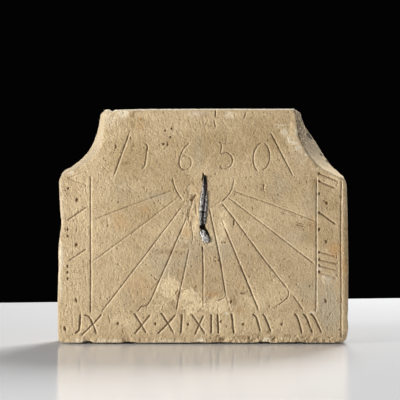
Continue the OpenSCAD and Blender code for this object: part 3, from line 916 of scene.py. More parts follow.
@dataclass(frozen=True)
class Edge:
    """A place on the slab's outline, as x, z at the face and at the back."""

    front: Point
    back: Point


class Slab:
    """The sandstone slab: its outline, carved face, dressed sides and rough back.

    Attributes:
        thickness: distance from the face to the back.
        face_back: how far the face lies behind the solid's, before its roughness is added.
        round_front: radius of the face's edge.
        round_back: depth of the back's rounded edge.
        worn_top: how far the top has worn away along its front edge.
        worn_foot: the same at the base.
        worn_depth: how far back this wear reaches.
        loop_step: spacing of the points along the outline.
        coarse: spacing of the points on the plain face.
        fine: spacing of the points round the carving.
        back_step: spacing of the points on the back.
        side_rings: number of loops of points round the sides.
        cove_x: the coves lie beyond this distance from the middle.
        cove_z: the coves lie above this height.
        top_z: the top lies above this height.
        chip_fade: length over which a chip fades towards the back.
        flaked_at: middle of a rougher part of the face.
        flaked_size: half its width and half its height.
        seed: number that fixes the stone's unevenness.
        scatter_seed: number that fixes how the points of the face scatter.
        outline: places round the slab, anticlockwise from the lower left.
        bites: x, z, reach and depth of losses along the outline.
        face_chips: x, z, reach and depth of losses at the face's edge.
        cove_chips: y, z, half width along y, half height and depth of chips in the right cove.
    """

    thickness: float = 70.0
    face_back: float = 0.75
    round_front: float = 1.2
    round_back: float = 5.0
    worn_top: float = 1.6
    worn_foot: float = 0.4
    worn_depth: float = 6.0
    loop_step: float = 1.35
    coarse: float = 1.15
    fine: float = 0.55
    back_step: float = 3.2
    side_rings: int = 28
    cove_x: float = 140.0
    cove_z: float = 258.0
    top_z: float = 320.0
    chip_fade: float = 2.5
    flaked_at: Point = (-16, 205)
    flaked_size: Point = (15, 40)
    seed: int = 7
    scatter_seed: int = 5
    outline: tuple[Edge, ...] = (
        Edge((-218.4, 0.6), (-219, 0.3)), Edge((-168, 0.4), (-168, 0.2)),
        Edge((-100, 0.4), (-100, 0.2)), Edge((0, 0.4), (0, 0.2)), Edge((100, 0.4), (100, 0.2)),
        Edge((190, 0.5), (190, 0.2)), Edge((215, 0.6), (217.5, 0.4)), Edge((220.4, 4.2), (221.6, 3.6)),
        Edge((223.2, 10), (223.2, 9)), Edge((224.3, 22), (223.8, 20)), Edge((224.3, 70), (223.8, 70)),
        Edge((224.6, 100), (224, 100)), Edge((224.2, 160), (223.8, 160)),
        Edge((223, 220), (223.6, 220)), Edge((222, 244), (224.4, 246)),
        Edge((219.5, 252.4), (224.6, 254)), Edge((213, 256.4), (224.2, 258)),
        Edge((203, 260.2), (220.4, 262)), Edge((191, 266), (214.3, 267.8)),
        Edge((180.5, 271.8), (205.1, 276.4)), Edge((174, 277.2), (200, 283.6)),
        Edge((168, 284.2), (193.7, 293)), Edge((161.8, 292), (187.4, 303.5)),
        Edge((156.4, 301.3), (180, 315)), Edge((152.2, 309.4), (174.5, 323)),
        Edge((148, 318.4), (168, 331.5)), Edge((146.4, 329.5), (163, 338.5)),
        Edge((144.2, 344), (158.8, 350)), Edge((142.6, 357.6), (156.2, 358)),
        Edge((139, 361), (153.2, 361.6)), Edge((60, 361.1), (60, 362)), Edge((-50, 361), (-50, 362)),
        Edge((-120, 360.3), (-120, 361)), Edge((-136, 359.4), (-139, 360.6)),
        Edge((-139.5, 358), (-146, 360.8)), Edge((-144, 359.8), (-152, 361)),
        Edge((-150, 360), (-159, 360.8)), Edge((-153.4, 357), (-163, 357.5)),
        Edge((-153.8, 345), (-164.4, 350)), Edge((-154, 329), (-166.6, 338)),
        Edge((-155.6, 314), (-170.6, 325)), Edge((-158.7, 303), (-175, 312)),
        Edge((-163.4, 295), (-180.2, 302.5)), Edge((-169.5, 287.6), (-187.5, 293.5)),
        Edge((-177.2, 281), (-194, 286.2)), Edge((-189.5, 273.6), (-203, 279.4)),
        Edge((-202, 267.4), (-211.4, 273.8)), Edge((-212, 262.5), (-219.4, 269.6)),
        Edge((-219, 258), (-224, 264.5)), Edge((-221.8, 251), (-224.2, 256)),
        Edge((-221.6, 236), (-224, 236)), Edge((-220.4, 209), (-223.6, 209)),
        Edge((-218.8, 190), (-223, 190)), Edge((-218.6, 182), (-222.6, 182)),
        Edge((-220.8, 167), (-222.8, 167)), Edge((-222.6, 151), (-223.4, 151)),
        Edge((-223.5, 132), (-223.8, 132)), Edge((-223.4, 98), (-223.8, 98)),
        Edge((-224.4, 66), (-224, 66)), Edge((-224.4, 36), (-224, 36)), Edge((-224, 12), (-223.4, 12)),
        Edge((-223.6, 4.2), (-223, 3.4)),
    )
    bites: tuple[tuple[float, float, float, float], ...] = (
        (-177, 0, 8.5, 3.2), (-114, 0, 12, 2.0), (-7, 0, 13, 0.8), (26, 0, 16, 1.0), (93, 0, 12, 1.8),
        (138, 0, 24, 1.1), (212, 0, 7, 0.9), (170, 328, 5, 2.2), (192, 281, 4, 1.2),
        (-139.5, 361, 3, 1.6), (-224, 120, 14, 0.8), (224, 40, 10, 1.0),
    )
    face_chips: tuple[tuple[float, float, float, float], ...] = (
        (162, 300, 7, 2.4), (176, 276, 6, 1.8), (147, 322, 5, 1.6), (-177, 2, 10, 2.4),
        (-118, 2, 11, 2.0), (90, 2, 16, 1.6), (160, 3, 14, 1.6), (30, 1, 14, 1.2), (220, 12, 9, 3.0),
        (-150, 357, 7, 1.6), (-222, 186, 9, 1.4),
    )
    cove_chips: tuple[tuple[float, float, float, float, float], ...] = (
        (20, 321.5, 8.5, 6.0, 0.9),
        (21, 293, 5.0, 2.8, 0.5),
        (28.5, 281.5, 7.0, 4.0, 1.0),
    )

    def __init__(
        self, seat: GnomonSeat, carving: Iterable[Cut], hollows: Iterable[Pit], scars: Iterable[Scar]
    ) -> None:
        """Takes what is cut into the face.

        Args:
            seat: the gnomon's slot and pocket.
            carving: chisel cuts.
            hollows: dots, pits and chips.
            scars: places where the skin has flaked off.
        """
        self.scars = list(scars)
        self.seat = seat
        self.carving = list(carving)
        self.hollows = list(hollows)
        self.grain = Grain(self.seed)
        self.face_y = -self.thickness / 2
        self.chipped: list[np.ndarray] = []

    def loops(self) -> tuple[np.ndarray, np.ndarray, np.ndarray]:
        """Walks the outline at an even step.

        Returns:
            The outline at the face, the outline at the back and the outward directions.
        """
        front = np.array([e.front for e in self.outline] + [self.outline[0].front], float)
        back = np.array([e.back for e in self.outline] + [self.outline[0].back], float)
        run = np.concatenate([[0], np.cumsum(np.linalg.norm(np.diff(front, axis=0), axis=1))])
        count = int(run[-1] / self.loop_step)
        at = np.linspace(0, run[-1], count, endpoint=False)
        kernel = np.exp(-np.linspace(-2, 2, 7) ** 2)
        kernel /= kernel.sum()
        result = []
        for loop in (front, back):
            walk = np.stack([np.interp(at, run, loop[:, i]) for i in (0, 1)], axis=1)
            wide = np.vstack([walk[-3:], walk, walk[:3]])
            result.append(np.stack([np.convolve(wide[:, i], kernel, "valid") for i in (0, 1)], axis=1))
        walk = result[0]
        out = outward(walk)
        space = spread(walk)
        rough = self.grain.mix(space, (0.28, 34.0), (0.22, 9.0), (0.16, 3.4)) - 0.3
        for x, z, size, deep in self.bites:
            away = np.linalg.norm((walk - (x, z)) / (size, max(size, 6)), axis=1)
            rough -= deep * smooth(1.25 - away) * (0.8 + 0.35 * self.grain.at(space, 4.0))
        return walk + out * rough[:, None], result[1] + out * rough[:, None] * 0.6, out

    def carve_depth(self, plane: np.ndarray) -> tuple[np.ndarray, np.ndarray]:
        """Depth of all chisel work and hollows under points of the face, and the painted highlight on the
        cuts' lit walls.
        """
        deep, lit_wall_highlight = np.zeros(len(plane)), np.zeros(len(plane))
        finder = Finder(plane)
        for cut in self.carving:
            near = cut.near(finder, 1.5)
            if len(near):
                here, wall = cut.depth_at(plane[near], self.grain)
                lit_wall_highlight[near] = np.where(here > deep[near], wall, lit_wall_highlight[near])
                deep[near] = np.maximum(deep[near], here)
        for pit in self.hollows:
            reach = pit.radius * max(1, pit.stretch) * 1.5
            near = finder.inside(np.asarray(pit.at) - reach, np.asarray(pit.at) + reach)
            if len(near):
                deep[near] = np.maximum(deep[near], pit.depth_at(plane[near], self.grain))
        return deep, lit_wall_highlight

    def scar_cover(self, plane: np.ndarray) -> tuple[np.ndarray, np.ndarray]:
        """Stone lost in the flaked places, and how fresh the floor is, for each point."""
        deep, fresh = np.zeros(len(plane)), np.zeros(len(plane))
        for scar in self.scars:
            cover = scar.cover(plane, self.grain)
            deep = np.maximum(deep, cover * scar.depth)
            fresh = np.maximum(fresh, cover * scar.fresh)
        return deep, fresh

    def skin(self, plane: np.ndarray) -> np.ndarray:
        """Uneven dressing and weathering of the face, as depth under each point."""
        space = spread(plane)
        x, z = plane.T
        wave = self.grain.mix(space, (0.5, 90.0), (0.3, 30.0), (0.16, 9.0), (0.16, (2.2, 1.0, 3.0)))
        grit = 0.17 * self.grain.at(space + 31, 4.4) + 0.13 * self.grain.at(space + 11, 3.0)
        pocks = 0.9 * smooth((self.grain.at(space + 57, 3.4) - 0.5) * 6)
        tooled = 0.4 + 0.8 * np.clip(ramp(z, 300, 340) + ramp(np.abs(x), 172, 184), 0, 1)
        slanted = np.stack([x + 0.16 * z, np.zeros(len(x)), z], axis=1)
        strokes = self.grain.at(slanted, (2.8, 1.0, 15.0)) * 0.24 * tooled
        worn = 0.5 * smooth((self.grain.at(space + 90, 26.0) - 0.35) * 3)
        worn *= 0.5 + 0.4 * self.grain.at(space, 5.0)
        beside = np.linalg.norm((plane - self.flaked_at) / self.flaked_size, axis=1)
        flaked = smooth(1.2 - beside) * self.grain.mix(space, (0.55, 7.0), (0.4, 3.0))
        return wave + grit + pocks + strokes + worn + 0.8 * flaked

    def edge_wear(self, plane: np.ndarray, loop: np.ndarray) -> tuple[np.ndarray, np.ndarray]:
        """How far the face falls away near its edge.

        Args:
            plane: rows of x, z.
            loop: the outline at the face.

        Returns:
            Depth of the wear, and distance from the outline, for each point.
        """
        away = away_from(loop, plane)
        x, z = plane.T
        space = spread(plane, 40.0)
        right = ramp(x, 205, 217) * ramp(z, 262, 242)
        width = 3.2 + 1.2 * self.grain.at(space, 22.0) + 5.5 * right
        deep = 0.9 + 0.5 * self.grain.at(space, 14.0) + 2.8 * right
        wear = np.maximum(deep, 0.3) * np.clip(1 - away / np.maximum(width, 1), 0, 1) ** (1.7 + 0.8 * right)
        wear += 0.7 * right * smooth((10 - away) / 8) * self.grain.at(space + 3, 4.0)
        low = ramp(z, 13, 6) * (0.4 + 0.6 * ramp(x, -30, 30))
        wear += low * (0.5 + 1.7 * self.grain.at(space + 5, 6.0) + 1.1 * self.grain.at(space + 8, 2.8))
        for cx, cz, size, amount in self.face_chips:
            chip = np.linalg.norm((plane - (cx, cz)) / size, axis=1) + 0.25 * self.grain.at(space, 6.0)
            wear += amount * smooth(1.1 - chip) * (0.75 + 0.4 * self.grain.at(space, 3.0))
        return wear, away

    def inner_points(self, loop: np.ndarray, step: float) -> np.ndarray:
        """A lattice inside a loop, at least half a step from it along each row.

        Args:
            loop: the closed outline.
            step: spacing of the lattice.

        Returns:
            Rows of x, z.
        """
        low, high = loop.min(axis=0), loop.max(axis=0)
        rows = []
        following = np.roll(loop, -1, axis=0)
        for z in np.arange(low[1] + step / 2, high[1], step):
            crosses = (loop[:, 1] > z) != (following[:, 1] > z)
            a, b = loop[crosses], following[crosses]
            xs = np.sort(a[:, 0] + (z - a[:, 1]) / (b[:, 1] - a[:, 1]) * (b[:, 0] - a[:, 0]))
            for x0, x1 in zip(xs[::2], xs[1::2]):
                first = math.ceil((x0 + step * 0.5) / step)
                last = math.floor((x1 - step * 0.5) / step)
                if last >= first:
                    row = np.arange(first, last + 1) * step
                    rows.append(np.stack([row, np.full(len(row), z)], axis=1))
        return np.vstack(rows)

    def sheet(self, loop: np.ndarray, inner: np.ndarray) -> tuple[np.ndarray, list[tuple[int, ...]]]:
        """Triangulates a loop and the points inside it.

        Args:
            loop: closed outline, anticlockwise.
            inner: points inside it.

        Returns:
            All points, the loop's first, and the triangles.
        """
        points = np.vstack([loop, inner])
        vectors = [Vector((float(x), float(z))) for x, z in points]
        result = delaunay_2d_cdt(vectors, [], [list(range(len(loop)))], 1, 1e-6)
        names = [group[0] for group in result[3]]
        faces = [tuple(names[i] for i in face) for face in result[2]]
        return points, faces

    def build(self) -> bpy.types.Object:
        """Makes the slab's mesh.

        Returns:
            The slab's object, undressed.
        """
        front, back, out = self.loops()
        turns = [self.round_front * (1 - math.sin(math.radians(a))) for a in (67.5, 45, 22.5, 0)]
        insets = shrink(front, turns)
        inset = insets[-1]
        face_points, face_tris = self.face_sheet(inset)
        wear, away = self.edge_wear(face_points, front)
        carved, lit_wall_highlight = self.carve_depth(face_points)
        seat = self.seat.depth_at(face_points, self.grain)
        lost, fresh = self.scar_cover(face_points)
        y = self.face_y + self.face_back + self.skin(face_points) + wear + lost + np.maximum(carved, seat)
        face = np.stack([face_points[:, 0], np.maximum(y, self.face_y), face_points[:, 1]], axis=1)
        count = len(inset)
        rings = self.rings(front, back, out, face[:count], insets[:-1])
        back_loop = rings[-1][:, [0, 2]]
        back_inner = self.inner_points(back_loop, self.back_step)
        back_inner = back_inner[away_from(back_loop, back_inner) > self.back_step * 0.5]
        back_points, back_tris = self.sheet(back_loop, back_inner)
        inner_only = back_points[count:]
        dressed = self.back_skin(inner_only)
        back_face = np.stack([inner_only[:, 0], self.thickness / 2 - dressed, inner_only[:, 1]], axis=1)
        vertices = np.vstack([face] + rings + [back_face])
        faces = list(face_tris)
        starts = [0] + [len(face) + i * count for i in range(len(rings))]
        for a, b in zip(starts, starts[1:]):
            for i in range(count):
                j = (i + 1) % count
                faces.append((a + j, a + i, b + i, b + j))
        last, after = starts[-1], len(face) + len(rings) * count
        for tri in back_tris:
            faces.append(tuple(last + i if i < count else after + i - count for i in reversed(tri)))
        low, high = (np.array(c) / MM for c in CAD_BOX)
        vertices = np.clip(vertices, (low[0], self.face_y, low[2]), (high[0], high[1], high[2]))
        slab = make_mesh("sandstone_slab", vertices, faces)
        self.store(slab, face_points, carved, lit_wall_highlight, seat, away, fresh)
        self.store_sides(slab, len(face), len(rings), front, out)
        return slab

    def face_sheet(self, inset: np.ndarray) -> tuple[np.ndarray, list[tuple[int, ...]]]:
        """Points and triangles of the face, close together where it is carved."""
        gap = self.coarse * 0.45
        coarse = self.inner_points(inset, self.coarse)
        coarse = coarse[away_from(inset, coarse) > gap]
        rng = np.random.default_rng(self.scatter_seed)
        coarse = coarse + rng.uniform(-0.25, 0.25, coarse.shape)
        fine = self.inner_points(inset, self.fine)
        fine = fine[self.near_carving(fine, 0.5)]
        fine = fine[away_from(inset, fine) > gap]
        fine = fine + rng.uniform(-0.08, 0.08, fine.shape)
        coarse = coarse[~self.near_carving(coarse, 0.7)]
        return self.sheet(inset, np.vstack([coarse, fine]))

    def near_carving(self, plane: np.ndarray, margin: float) -> np.ndarray:
        """Which points lie in or within a margin of carved work."""
        found = np.zeros(len(plane), bool)
        finder = Finder(plane)
        for cut in self.carving:
            near = cut.near(finder, margin)
            if len(near):
                away = cut.offsets(plane[near])[0]
                found[near] |= away < cut.width * 0.6 + margin
        for pit in self.hollows:
            if pit.depth < 0.8:
                continue
            reach = np.array([pit.radius + margin, pit.radius * pit.stretch + margin])
            found[finder.inside(pit.at - reach, pit.at + reach)] = True
        across, down = self.seat.local(plane).T
        found |= (np.abs(across) < 9) & (down > -2) & (down < 116)
        return found

    def rings(
        self,
        front: np.ndarray,
        back: np.ndarray,
        out: np.ndarray,
        start: np.ndarray,
        insets: Sequence[np.ndarray],
    ) -> list[np.ndarray]:
        """Loops of points from the face's edge round the sides to the back's edge.

        Args:
            front: outline at the face.
            back: outline at the back.
            out: outward directions.
            start: the face's edge, as x, y, z.
            insets: outlines round the front edge, the outermost first.

        Returns:
            The loops, the face's own edge left out.
        """
        made = []
        full = front + out * self.arris_wear(front, out)[:, None]
        turn = start[:, 1] + self.round_front
        for angle, plane in zip(np.radians((22.5, 45, 67.5)), reversed(insets)):
            y = start[:, 1] + self.round_front * (1 - math.cos(angle))
            made.append(np.stack([plane[:, 0], y, plane[:, 1]], axis=1))
            self.chipped.append(np.zeros(len(plane)))
        end = self.thickness / 2 - self.round_back
        for t in np.linspace(0, 1, self.side_rings):
            y = turn + (end - turn) * t
            share = ((y - self.face_y) / self.thickness)[:, None]
            worn = 1 - smooth((y - turn) / self.worn_depth)[:, None]
            plane = full + (front - full) * worn + (back - full) * share
            space = np.stack([plane[:, 0], y, plane[:, 1]], axis=1)
            fade = math.sin(math.pi * min(1.0, t * 4) / 2)
            rough = self.grain.mix(space, (0.55, 24.0), (0.3, 8.0), (0.4, (3.4, 12.0, 3.4)), (0.3, 4.0))
            rough -= 0.35
            chipped = np.zeros(len(plane))
            whole = smooth((end - y) / self.chip_fade) * (plane[:, 0] > self.cove_x)
            for far, up, wide, high, deep in self.cove_chips:
                away = np.hypot((y - far) / wide, (plane[:, 1] - up) / high)
                chip = smooth(1.3 - away - 0.2 * self.grain.at(space, 3.0)) * whole
                rough -= deep * chip
                chipped = np.maximum(chipped, chip)
            self.chipped.append(chipped)
            plane = plane + out * (rough * fade)[:, None]
            made.append(np.stack([plane[:, 0], y, plane[:, 1]], axis=1))
        edge = made[-1][:, [0, 2]]
        turns = np.radians((30, 60, 90))
        for angle, plane in zip(turns, shrink(edge, self.round_back * 0.8 * (1 - np.cos(turns)))):
            space = spread(plane, 60.0)
            y = end + self.round_back * math.sin(angle) - 0.5 + 0.4 * self.grain.at(space, 12.0)
            made.append(np.stack([plane[:, 0], y, plane[:, 1]], axis=1))
            self.chipped.append(np.zeros(len(plane)))
        return made

    def arris_wear(self, loop: np.ndarray, out: np.ndarray) -> np.ndarray:
        """How far the worn front edge lies inside the top and the base, point by point."""
        return self.worn_top * self.on_top(loop, out) + self.worn_foot * ramp(-out[:, 1], 0.6, 0.9)

    def on_top(self, loop: np.ndarray, out: np.ndarray) -> np.ndarray:
        """How much each point of the outline belongs to the slab's top, 0 to 1."""
        return ramp(out[:, 1], 0.6, 0.9) * (loop[:, 1] > self.top_z)

    def back_skin(self, plane: np.ndarray) -> np.ndarray:
        """Rough punching of the back, as depth under each point."""
        space = spread(plane, 200.0)
        slanted = np.stack([plane[:, 0] - plane[:, 1], np.zeros(len(plane)), plane.sum(axis=1)], axis=1)
        strokes = np.abs(self.grain.at(slanted, (11.0, 1.0, 60.0)))
        broad = self.grain.mix(space, (0.9, 70.0), (0.5, 18.0), (0.25, 6.5))
        return np.clip(1.1 + broad + 1.1 * strokes, 0, 4)

    def store(
        self,
        slab: bpy.types.Object,
        plane: np.ndarray,
        carved: np.ndarray,
        lit_wall_highlight: np.ndarray,
        seat: np.ndarray,
        away: np.ndarray,
        fresh: np.ndarray,
    ) -> None:
        """Keeps what the finish needs on the mesh's points.

        Args:
            slab: the object.
            plane: the face's points, the mesh's first.
            carved: depth of the carving there.
            lit_wall_highlight: painted highlight on a cut's lit right wall at each point.
            seat: depth of the gnomon's slot there.
            away: distance from the outline.
            fresh: how fresh the stone is where it flaked.
        """
        # painted highlight along the face's edge, strong only at the top
        pale_and_highlight = ramp(away, 3.5, 0) * (0.25 + 0.55 * ramp(plane[:, 1], 345, 355))
        # carved: dirt and painted shade in the cuts, held off the walls that get the painted highlight
        values = {"carved": np.clip(carved / 1.6, 0, 1.4) * (1 - lit_wall_highlight), "lit_wall_highlight": lit_wall_highlight, "pale_and_highlight": pale_and_highlight}
        # painted shade in the gnomon's slot and pocket, darker where they are deeper
        values["painted_hollow_shade"] = np.clip(seat / 4.0, 0, 1)
        space = spread(plane, 12.0)
        ragged = self.grain.mix(space, (0.28, 16.0), (0.26, 5.5), (0.26, 2.5))
        for tone in Tone:
            amount = np.zeros(len(plane))
            for patch in PATCHES[tone]:
                d = np.linalg.norm((plane - patch.at) / patch.size, axis=1) + ragged * patch.torn
                amount = np.maximum(amount, patch.strength * smooth((1 - d) / patch.soft + 0.25))
            values[tone.value] = amount
        values["cream"] = np.maximum(values["cream"], fresh)
        values["face"] = np.ones(len(plane))
        self.keep(slab, 0, values)

    def store_sides(
        self, slab: bpy.types.Object, start: int, rings: int, front: np.ndarray, out: np.ndarray
    ) -> None:
        """Keeps what the finish needs on the points round the sides.

        Args:
            slab: the object.
            start: number of the first of those points.
            rings: number of loops.
            front: outline at the face.
            out: outward directions.
        """
        count = len(front)
        depth = np.repeat(np.arange(rings) / rings, count)
        x, z = front.T
        top = np.tile(self.on_top(front, out), rings)
        coves = np.tile((np.abs(x) > self.cove_x) & (z > self.cove_z), rings)
        # painted highlights on the front of the top and on the coves' back edges
        pale_and_highlight = np.maximum(top * ramp(depth, 0.34, 0.24), coves * ramp(depth, 0.83, 0.91))
        places = np.array([v.co for v in slab.data.vertices[start : start + rings * count]]) / MM
        pale_and_highlight *= np.where(depth < 0.08, 1.0, np.clip(0.85 + 0.4 * self.grain.at(places, 7.0), 0, 1))
        # painted shade on the right cove, which faces away from the lamp, darker towards the top
        high = 0.03 + 1.15 * ramp(z, 268, 318) ** 1.9
        painted_cove_shade = np.tile(ramp(out[:, 0], 0, 0.625) * (z > 255) * high, rings)
        # the cove's chips are marked for painted shade
        chipped = np.concatenate(self.chipped)
        # the right cove's lower part is tinted paler
        low = ramp(out[:, 0], -0.2, 0.3) * (z > 252) * (x > self.cove_x)
        paler_low_cove = np.tile(low * ramp(z, 292, 268), rings)
        sides = {"pale_and_highlight": pale_and_highlight * (1 - chipped), "painted_cove_shade": painted_cove_shade, "painted_hollow_shade": chipped, "paler_low_cove": paler_low_cove}
        self.keep(slab, start, sides)

    def keep(self, slab: bpy.types.Object, start: int, values: dict[str, np.ndarray]) -> None:
        """Writes named numbers on the mesh's points.

        Args:
            slab: the object.
            start: number of the first point.
            values: the numbers by name, a row for each point from the first one on.
        """
        stored = slab.data.attributes
        for name, part in values.items():
            data = (stored[name] if name in stored else stored.new(name, "FLOAT", "POINT")).data
            whole = np.zeros(len(slab.data.vertices), np.float32)
            data.foreach_get("value", whole)
            whole[start : start + len(part)] = part
            data.foreach_set("value", whole)


def make_mesh(name: str, vertices: np.ndarray, faces: Sequence[Sequence[int]]) -> bpy.types.Object:
    """Makes a smooth-shaded mesh object.

    Args:
        name: the piece's name.
        vertices: rows of x, y, z in millimetres.
        faces: corner numbers of each face.

    Returns:
        The object, in the scene.
    """
    mesh = bpy.data.meshes.new(name)
    mesh.from_pydata((vertices * MM).tolist(), [], faces)
    mesh.validate()
    mesh.polygons.foreach_set("use_smooth", np.ones(len(mesh.polygons), bool))
    mesh.update()
    piece = bpy.data.objects.new(name, mesh)
    bpy.context.scene.collection.objects.link(piece)
    return piece


def loft(name: str, loops: Sequence[np.ndarray]) -> bpy.types.Object:
    """Makes a closed solid along a run of loops and closes both ends with a fan.

    Args:
        name: the piece's name.
        loops: loops of equal count, as x, y, z.

    Returns:
        The object.
    """
    count = len(loops[0])
    vertices = np.vstack([*loops, loops[0].mean(axis=0), loops[-1].mean(axis=0)])
    first, last = len(vertices) - 2, len(vertices) - 1
    end = (len(loops) - 1) * count
    faces: list[tuple[int, ...]] = []
    for k in range(0, end, count):
        for i in range(count):
            j = (i + 1) % count
            faces.append((k + i, k + j, k + count + j, k + count + i))
    for i in range(count):
        j = (i + 1) % count
        faces += [(first, j, i), (last, end + i, end + j)]
    return make_mesh(name, vertices, faces)


@dataclass(frozen=True)
class LeadStrip:
    """Lead caulked into the slot on one side of the blade.

    Attributes:
        name: the piece's name.
        node: the CAD node that it stands for.
        side: -1 on the blade's left, 1 on its right.
        start: distance of its upper end down the slot.
        end: distance of its lower end.
        crown: how far its ridge stands out of the face.
        ridge_at: place of the ridge between wall, 0, and blade, 1.
        inner: height of its edge at the blade.
        seed: number that fixes its hammer marks.
        blade_gap: its distance from the blade.
        buried: how deep it goes into the stone.
        ring_count: number of points across it.
    """

    name: str
    node: str
    side: int
    start: float
    end: float
    crown: float
    ridge_at: float
    inner: float
    seed: int
    blade_gap: float = 0.1
    buried: float = 11.0
    ring_count: int = 30

    def build(self, seat: GnomonSeat, face_y: float) -> bpy.types.Object:
        """Makes the strip between the slot's wall and the blade.

        Args:
            seat: the slot.
            face_y: the face's place.

        Returns:
            The object, undressed.
        """
        grain = Grain(self.seed)
        loops = []
        t = np.linspace(0, 1, self.ring_count)
        which = 0 if self.side < 0 else 1
        for down in np.linspace(self.start, self.end, 190):
            wall = float(seat.sides(np.array(down))[which])
            gap = float(seat.blade_sides(np.array(down))[which]) + self.side * self.blade_gap
            near_end = min(down - self.start, self.end - down)
            swell = math.sqrt(min(1.0, (near_end + 0.15) / 2.6))
            across = wall + (gap - wall) * t
            ridge = np.exp(-(((t - self.ridge_at) / 0.42) ** 2))
            height = self.inner + (self.crown - self.inner) * ridge * swell
            height -= 1.9 * smooth((0.24 - t) / 0.24)
            top = seat.place(across, height, down, face_y)
            lumps = grain.mix(top, (0.45, 6.5), (0.3, 1.5)) + 0.45 * grain.at(top + 7, 2.8)
            dents = 2.4 * smooth((grain.at(top + 40, 2.9) - 0.25) * 4)
            top[:, 1] -= (lumps - dents) * swell
            top[:, 0] += 0.35 * grain.at(top + 9, 2.6)
            low = seat.place(np.array([gap, (gap + wall) / 2, wall]), -self.buried, down, face_y)
            loop = np.vstack([top, low])
            loops.append(loop if self.side > 0 else loop[::-1])
        return loft(self.name, loops)


@dataclass(frozen=True)
class BladeRoot:
    """The wrought-iron blade, rusted and broken off just in front of the face.

    Attributes:
        name: the piece's name.
        node: the CAD node that it stands for.
        start: distance of its upper end down the slot.
        end: distance of its lower end.
        reach: how far its broken edge stands out of the face.
        buried: how deep it goes into the stone.
        style_slope: rise of its upper edge for each step down.
        seed: number that fixes its broken edge.
    """

    name: str = "iron_blade_root"
    node: str = "gnomon_blade"
    start: float = 1.0
    end: float = 76.5
    reach: float = 1.6
    buried: float = 12.0
    style_slope: float = math.tan(math.radians(49.5))
    seed: int = 41

    def build(self, seat: GnomonSeat, face_y: float) -> bpy.types.Object:
        """Makes the root with its ragged broken edge.

        Args:
            seat: the slot that it stands in.
            face_y: the face's place.

        Returns:
            The object, undressed.
        """
        grain = Grain(self.seed)
        loops = []
        t = np.linspace(0, 1, 9)
        for down in np.linspace(self.start, self.end, 180):
            here = seat.place(np.zeros(1), 0, down, face_y)
            slope = (down - self.start) * self.style_slope
            ragged = 0.9 * float(grain.at(here, 9.0)[0]) + 0.7 * float(grain.at(here, 3.0)[0])
            reach = min(slope - 0.6, self.reach - 1.0 + ragged)
            reach = min(reach, self.reach + 0.4, 0.3 + (self.end - down) * 2.5)
            left, right = (float(v) for v in seat.blade_sides(np.array(down)))
            across = left + (right - left) * t
            front = reach - 0.8 * np.abs(2 * t - 1) ** 3
            top = seat.place(across, front, down, face_y)
            top[:, 1] += 0.4 * grain.at(top, 1.6)
            depths = np.linspace(reach - 1.4, -self.buried, 7)
            near = seat.place(np.full(7, right), depths, down, face_y)
            far = seat.place(np.full(7, left), depths[::-1], down, face_y)
            loops.append(np.vstack([top, near, far]))
        return loft(self.name, loops)


@dataclass(frozen=True)
class LeadFoot:
    """The lobe of lead poured into the pocket below the slot.

    Attributes:
        name: the piece's name.
        node: the CAD node that it stands for.
        crown: height of its dome over the face.
        aside: how far it lies to the left of the pocket's middle.
        buried: how deep it goes into the stone.
        seed: number that fixes its lumps.
    """

    name: str = "poured_lead_foot"
    node: str = "lead_foot"
    crown: float = 3.2
    aside: float = 0.7
    buried: float = 6.0
    seed: int = 59

    def build(self, seat: GnomonSeat, face_y: float) -> bpy.types.Object:
        """Makes the lobe.

        Args:
            seat: says where the pocket is.
            face_y: the face's place.

        Returns:
            The object, undressed.
        """
        grain = Grain(self.seed)
        a, b = seat.foot_ends()
        way = (b - a) / np.linalg.norm(b - a)
        across = np.array([-way[1], way[0]])
        radius = seat.foot_radius - 0.6
        a = a - across * self.aside
        b = b - across * self.aside
        length = seat.foot_length
        loops = []
        for s in np.linspace(-radius + 0.05, length + radius - 0.05, 60):
            past = max(0.0, -s, s - length)
            half = math.sqrt(max(radius**2 - past**2, 0.05)) * (0.86 + 0.12 * smooth(np.array(s / length)))
            edge = np.array([[s, 0.0, 0.0], [s, 40.0, 0.0]])
            left, right = half * (1 + 0.26 * grain.at(edge, 3.4))
            t = np.linspace(-1, 1, 22)
            dome = self.crown * (half / radius) * np.sqrt(np.clip(1 - t**2 * 0.97, 0, 1))
            plane = a + way * s + across * (t * np.where(t < 0, right, left))[:, None]
            top = np.stack([plane[:, 0], face_y - dome, plane[:, 1]], axis=1)
            lumps = 0.9 * grain.layers(top, 5.0, 3, 0.75) + 0.4 * grain.at(top, 1.7)
            lumps -= 2.2 * smooth((grain.at(top + 20, 3.4) - 0.15) * 3)
            top[:, 1] -= lumps * np.sqrt(np.clip(1 - t**2, 0, 1))
            top[:, 1] = np.maximum(top[:, 1], face_y - self.crown - 0.15)
            low_plane = a + way * s + across * (np.array([1.0, 0.0, -1.0]) * half * 0.85)[:, None]
            low = np.stack([low_plane[:, 0], np.full(3, face_y + self.buried), low_plane[:, 1]], axis=1)
            loops.append(np.vstack([top, low]))
        return loft(self.name, loops)


